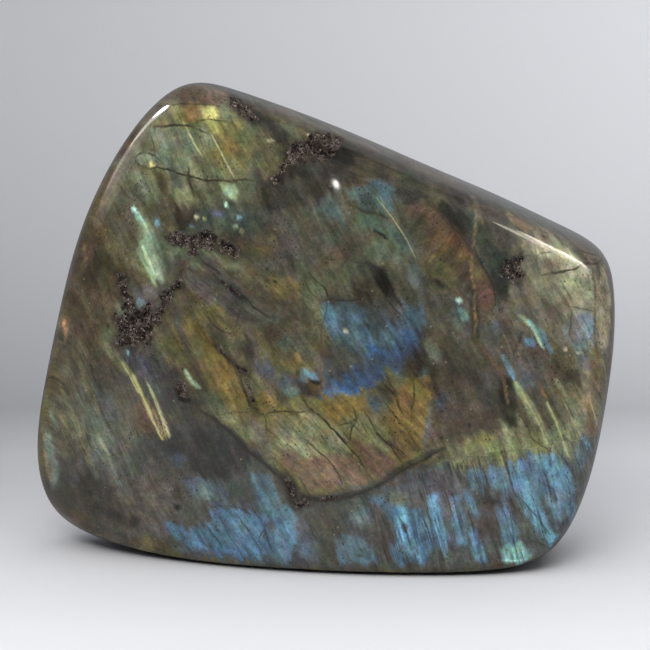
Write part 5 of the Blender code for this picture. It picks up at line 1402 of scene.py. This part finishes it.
def grain_effect():
    """Mottling, grain, dark specks, and pale specks of painted glitter in a stone, in its own place."""
    group, take, give = effect("stone grain", {
        "Colour": (COLOUR, (0.1, 0.1, 0.1, 1)), "Mottle": (FLOAT, 0.2), "Grain": (FLOAT, 0.2),
        "Hue drift": (FLOAT, 0.0), "Dark specks": (FLOAT, 0.5), "Painted glitter": (FLOAT, 0.3)},
        {"Colour": COLOUR, "Height": FLOAT})
    spot = place(group, "ShaderNodeTexCoord").outputs["Object"]
    mottle = noise_at(group, spot, 210.0, 7.0, 0.82)
    hues = place(group, "ShaderNodeTexNoise", {
        "Vector": spot, "Scale": 230.0, "Detail": 5.0, "Roughness": 0.7}).outputs["Color"]
    hues = place(group, "ShaderNodeVectorMath", {0: hues, 1: (1.7, 1.1, 2.0), 2: (0.14, 0.48, 0.0)},
                 operation="MULTIPLY_ADD").outputs[0]
    tinted = place(group, "ShaderNodeVectorMath", {0: take["Colour"], 1: hues},
                   operation="MULTIPLY").outputs[0]
    drifted = mix(group, take["Hue drift"], take["Colour"], tinted)
    grain = noise_at(group, spot, 1300.0, 2.0, 0.65)
    total = reckon(group, "ADD", times(group, fade(group, mottle, 0.3, 0.7, -1.0, 1.0), take["Mottle"]),
                   times(group, fade(group, grain, 0.3, 0.7, -1.0, 1.0), take["Grain"]))
    lit = scaled(group, drifted, reckon(group, "POWER", 2.0, total))
    gather = fade(group, noise_at(group, spot, 120.0, 3.0), 0.48, 0.60)
    cells = place(group, "ShaderNodeTexVoronoi", {"Vector": spot, "Scale": 800.0}).outputs["Distance"]
    dark = times(group, fade(group, cells, 0.24, 0.12), gather, take["Dark specks"])
    # painted glints: sparse pale specks of glitter
    glitter = place(group, "ShaderNodeTexVoronoi", {"Vector": spot, "Scale": 700.0})
    pick = place(group, "ShaderNodeSeparateColor", {0: glitter.outputs["Color"]}).outputs[1]
    pale = times(group, fade(group, glitter.outputs["Distance"], 0.22, 0.12), fade(group, pick, 0.95, 0.97),
                 take["Painted glitter"])
    speckled = mix(group, dark, lit, full(38, 33, 26))
    group.links.new(mix(group, pale, speckled, full(200, 196, 160)), give["Colour"])
    group.links.new(grain, give["Height"])
    return group


def line_effect():
    """A thin drawn line: where a signed distance passes through nothing."""
    group, take, give = effect("thin line", {"Line": (VECTOR, None), "Breaks": (FLOAT, 0.5)}, {"Mask": FLOAT})
    parts = place(group, "ShaderNodeSeparateXYZ", {0: take["Line"]}).outputs
    width = fade(group, reckon(group, "ABSOLUTE", parts[0]), 0.55, 1.35, 1.0, 0.0)
    spot = place(group, "ShaderNodeTexCoord").outputs["Object"]
    broken = fade(group, noise_at(group, spot, 420.0, 2.0), 0.36, 0.50, 0.35, 1.0)
    kept = reckon(group, "MAXIMUM", broken, reckon(group, "SUBTRACT", 1.0, take["Breaks"]))
    group.links.new(times(group, width, parts[1], kept), give["Mask"])
    return group


def new_finish(name):
    finish = bpy.data.materials.new(name)
    finish.use_nodes = True
    tree = finish.node_tree
    return finish, tree, tree.nodes["Principled BSDF"]


def attribute(tree, name, output):
    return place(tree, "ShaderNodeAttribute", attribute_name=name).outputs[output]


def polished_finish(lamellae, grain, line):
    """Clear polish over painted, streaked feldspar, with dull dark pits."""
    finish, tree, shader = new_finish("polished labradorite")
    spot = place(tree, "ShaderNodeTexCoord").outputs["Object"]
    crumble = fade(tree, noise_at(tree, spot, 620.0, 4.0, 0.75), 0.25, 0.75, -0.75, 0.75)
    pit = fade(tree, reckon(tree, "ADD", attribute(tree, "pit", "Fac"), crumble), -0.06, 0.10)
    how_streaked = attribute(tree, "streaked", "Fac")
    streaked = place(tree, "ShaderNodeGroup", {
        "Colour": attribute(tree, "stone_colour", "Color"), "Lamella": attribute(tree, "lamella", "Vector"),
        "Fine": fade(tree, how_streaked, 0.0, 1.0, 0.22, 0.46), "Broad": 0.36, "Blades": 0.22,
        "Hairs": fade(tree, how_streaked, 0.0, 1.0, 0.04, 0.72), "Dulling": 0.65}, node_tree=lamellae)
    grained = place(tree, "ShaderNodeGroup", {
        "Colour": streaked.outputs["Colour"], "Mottle": 0.80, "Grain": 0.24, "Hue drift": 0.6,
        "Dark specks": 0.85, "Painted glitter": 0.3}, node_tree=grain)
    masks = [place(tree, "ShaderNodeGroup", {"Line": attribute(tree, name, "Vector")},
                   node_tree=line).outputs["Mask"] for name in ("crack", "glint")]
    colour = mix(tree, masks[1], grained.outputs["Colour"], full(206, 206, 150))
    colour = mix(tree, masks[0], colour, full(46, 36, 26))
    crust = noise_at(tree, spot, 1500.0, 3.0, 0.7)
    # painted glints: thin pale threads in the pits' colour
    pit_glint_thread = times(tree, near_middle(tree, crust, 0.010, 0.035),
                       fade(tree, noise_at(tree, spot, 500.0), 0.40, 0.60))
    pit_colour = mix(tree, fade(tree, crust, 0.42, 0.75), full(22, 19, 18), full(84, 70, 62))
    pit_colour = mix(tree, pit_glint_thread, pit_colour, full(176, 160, 150))
    colour = mix(tree, pit, colour, pit_colour)
    tree.links.new(colour, shader.inputs["Base Color"])
    tree.links.new(times(tree, attribute(tree, "flash", "Fac"), 0.20), shader.inputs["Metallic"])
    tree.links.new(fade(tree, pit, 0.0, 1.0, 0.38, 0.6), shader.inputs["Roughness"])
    tree.links.new(fade(tree, pit, 0.0, 1.0, 1.0, 0.0), shader.inputs["Coat Weight"])
    shader.inputs["Specular IOR Level"].default_value = 0.2
    shader.inputs["Coat Roughness"].default_value = 0.045
    shader.inputs["Coat IOR"].default_value = 1.52
    height = reckon(tree, "ADD", times(tree, streaked.outputs["Height"], 0.3),
                    times(tree, crust, times(tree, pit, 3.0)))
    bump = place(tree, "ShaderNodeBump", {"Strength": 0.5, "Distance": 0.00012, "Height": height})
    tree.links.new(bump.outputs[0], shader.inputs["Normal"])
    return finish


def grain_finish(grain):
    """Small dull and glassy crystals, from black to grey and a few white."""
    finish, tree, shader = new_finish("pit crystals")
    tone = attribute(tree, "grain_tone", "Fac")
    dark = mix(tree, fade(tree, tone, 0.0, 0.6), full(24, 21, 20), full(84, 72, 64))
    pale = mix(tree, fade(tree, tone, 0.80, 0.97), dark, full(196, 190, 176))
    grained = place(tree, "ShaderNodeGroup", {"Colour": pale}, node_tree=grain).outputs
    tree.links.new(grained["Colour"], shader.inputs["Base Color"])
    shader.inputs["Roughness"].default_value = 0.32
    bump = place(tree, "ShaderNodeBump", {"Strength": 0.4, "Distance": 0.0001, "Height": grained["Height"]})
    tree.links.new(bump.outputs[0], shader.inputs["Normal"])
    return finish


def surface_points(stone):
    """A finder that gives the place and normal on the stone's front at an x and z in millimetres."""
    tree = BVHTree.FromObject(stone, bpy.context.evaluated_depsgraph_get())

    def find(x, z):
        return tree.ray_cast(Vector((x * MM, WELL_IN_FRONT, z * MM)), Vector((0, 1, 0)))[:2]
    return find


def pit_grains(stone):
    """Small crystals set over the floors of the rough pits."""
    dice = random.Random(11)
    find = surface_points(stone)
    bpy.ops.object.select_all(action="DESELECT")
    bpy.ops.mesh.primitive_ico_sphere_add(subdivisions=1, radius=1.0, location=(0, 0, 0))
    first = bpy.context.object
    bpy.ops.object.mode_set(mode="EDIT")
    bpy.ops.mesh.select_all(action="SELECT")
    bpy.ops.transform.resize(value=(1.0, 0.72, 0.86))
    bpy.ops.transform.vertex_random(offset=0.22, uniform=0.4, seed=3)
    bpy.ops.object.mode_set(mode="OBJECT")
    grains = []
    for name in LINED_PITS:
        for mx, mz, half_length, half_width, _, turn in PITS[name]:
            c, s = math.cos(math.radians(turn)), math.sin(math.radians(turn))
            for _ in range(round(math.pi * half_length * half_width * GRAINS_PER_SQUARE_MM)):
                radius, angle = math.sqrt(dice.random()) * 0.93, dice.uniform(0, 2 * math.pi)
                u, v = half_length * radius * math.cos(angle), half_width * radius * math.sin(angle)
                spot, normal = find(mx + u * c - v * s, mz + u * s + v * c)
                if spot is None:
                    continue
                size = dice.uniform(*GRAIN_SIZE) * (1.1 - 0.4 * radius) * MM
                turn_by = dice.uniform(0, 6.28)
                axis = Vector([dice.uniform(-1, 1) for _ in range(3)]).normalized()
                grain = first.copy()
                grain.data = first.data.copy()
                grain.data.transform(Matrix.Translation(spot + normal * size * 0.1)
                                     @ Matrix.Rotation(turn_by, 4, axis)
                                     @ Matrix.Diagonal((size, size, size, 1)))
                tone = grain.data.attributes.new("grain_tone", "FLOAT", "POINT")
                tone.data.foreach_set("value", [dice.random()] * len(grain.data.vertices))
                bpy.context.collection.objects.link(grain)
                grains.append(grain)
    bpy.data.objects.remove(first)
    select_only(*grains)
    bpy.ops.object.join()
    joined = bpy.context.object
    joined.name = "pit_crystals"
    return joined


def paper_sweep():
    """A sheet of paper that lies on the floor and curves up behind the stone."""
    bpy.ops.object.select_all(action="DESELECT")
    bpy.ops.mesh.primitive_plane_add(size=1, location=(0, 0, 0))
    sweep = bpy.context.object
    sweep.name = "pale_sweep"
    sweep.scale = (*SWEEP_SIZE, 1.0)
    bpy.ops.object.transform_apply(location=False, rotation=False, scale=True)
    bpy.ops.object.mode_set(mode="EDIT")
    bpy.ops.mesh.select_all(action="SELECT")
    bpy.ops.transform.translate(value=(0, SWEEP_START - SWEEP_SIZE[1] / 2, 0))
    bpy.ops.mesh.select_all(action="DESELECT")
    for edge in bmesh.from_edit_mesh(sweep.data).edges:
        edge.select_set(all(vertex.co.y > SWEEP_START - 0.01 for vertex in edge.verts))
    bpy.ops.mesh.spin(steps=SWEEP_STEPS, angle=math.radians(-90), center=(0, SWEEP_START, SWEEP_ROUND),
                      axis=(1, 0, 0))
    bpy.ops.mesh.extrude_region_move(TRANSFORM_OT_translate={"value": (0, 0, SWEEP_HEIGHT)})
    bpy.ops.mesh.select_all(action="SELECT")
    bpy.ops.mesh.remove_doubles(threshold=0.0001)
    bpy.ops.mesh.normals_make_consistent(inside=True)
    bpy.ops.object.mode_set(mode="OBJECT")
    bpy.ops.object.shade_smooth()
    return sweep


def paper_finish():
    """Pale paper in greys of painted shade and light, dimmer in the polish, and clear when it is seen from
    behind.
    """
    finish, tree, shader = new_finish("pale paper")
    where = place(tree, "ShaderNodeTexCoord").outputs["Object"]
    spot = place(tree, "ShaderNodeSeparateXYZ", {0: where}).outputs
    depth = reckon(tree, "ADD", spot[1], spot[2])
    ramp = place(tree, "ShaderNodeValToRGB", {0: fade(tree, depth, PAPER_NEAR, PAPER_FAR)})
    stops = ramp.color_ramp.elements
    # painted shade: the paper is darkest near the bend and lighter in front and up the wall
    for number, (reach_back, grey) in enumerate(PAPER_SHADE_BY_DEPTH):
        stop = stops[number] if number < 2 else stops.new(1.0)
        stop.position = (reach_back - PAPER_NEAR) / (PAPER_FAR - PAPER_NEAR)
        stop.color = full(grey, grey + 1, grey + 5)
    # painted light: the paper grows lighter to the right, away from the front
    painted_light_rightward = times(tree, fade(tree, spot[0], -0.11, 0.11), fade(tree, depth, -0.02, 0.09))
    paper = scaled(tree, ramp.outputs[0], reckon(tree, "MULTIPLY_ADD", painted_light_rightward, PAPER_LIGHT_RIGHTWARD, 1.0))
    dimmed = times(tree, place(tree, "ShaderNodeLightPath").outputs["Is Glossy Ray"], PAPER_DIMMED)
    tree.links.new(mix(tree, dimmed, paper, (0.0, 0.0, 0.0, 1)), shader.inputs["Base Color"])
    seen_from_behind = place(tree, "ShaderNodeNewGeometry").outputs["Backfacing"]
    tree.links.new(reckon(tree, "SUBTRACT", 1.0, seen_from_behind), shader.inputs["Alpha"])
    shader.inputs["Roughness"].default_value = 0.9
    shader.inputs["Specular IOR Level"].default_value = 0.1
    return finish


def light_room():
    """The soft lights and the room's own faint light."""
    for name, spot, aim, size, power, tint, mirrored in LIGHTS:
        lamp = bpy.data.lights.new(name, "AREA")
        lamp.shape, lamp.size, lamp.size_y = "ELLIPSE" if mirrored else "RECTANGLE", size[0], size[1]
        lamp.energy, lamp.color = power, tint
        holder = bpy.data.objects.new(name, lamp)
        holder.location = spot
        holder.rotation_euler = (Vector(aim) - Vector(spot)).to_track_quat("-Z", "Y").to_euler()
        holder.visible_glossy, holder.visible_diffuse = mirrored, not mirrored
        bpy.context.scene.collection.objects.link(holder)
    world = bpy.data.worlds.new("soft room")
    world.use_nodes = True
    glow = world.node_tree.nodes["Background"].inputs
    glow[0].default_value = (*ROOM_COLOUR, 1.0)
    glow[1].default_value = ROOM_LIGHT
    bpy.context.scene.world = world


def set_camera():
    lens = bpy.data.cameras.new("camera")
    lens.sensor_width, lens.lens, lens.clip_start = CAMERA_SENSOR, CAMERA_LENS, 0.01
    camera = bpy.data.objects.new("camera", lens)
    camera.location = CAMERA_PLACE
    camera.rotation_euler = (CAMERA_TILT, 0.0, 0.0)
    bpy.context.scene.collection.objects.link(camera)
    bpy.context.scene.camera = camera
    bpy.context.scene.view_settings.view_transform = "Standard"


def main():
    stone = round_stone(sawn_block())
    paint_stone(stone)
    grain = grain_effect()
    stone.data.materials.append(polished_finish(lamella_effect(), grain, line_effect()))
    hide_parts(STONE_NODE)
    grains = pit_grains(stone)
    grains.data.materials.append(grain_finish(grain))
    for piece in (stone, grains):
        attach(piece, "root")
    sweep = paper_sweep()
    sweep.data.materials.append(paper_finish())
    light_room()
    set_camera()


main()
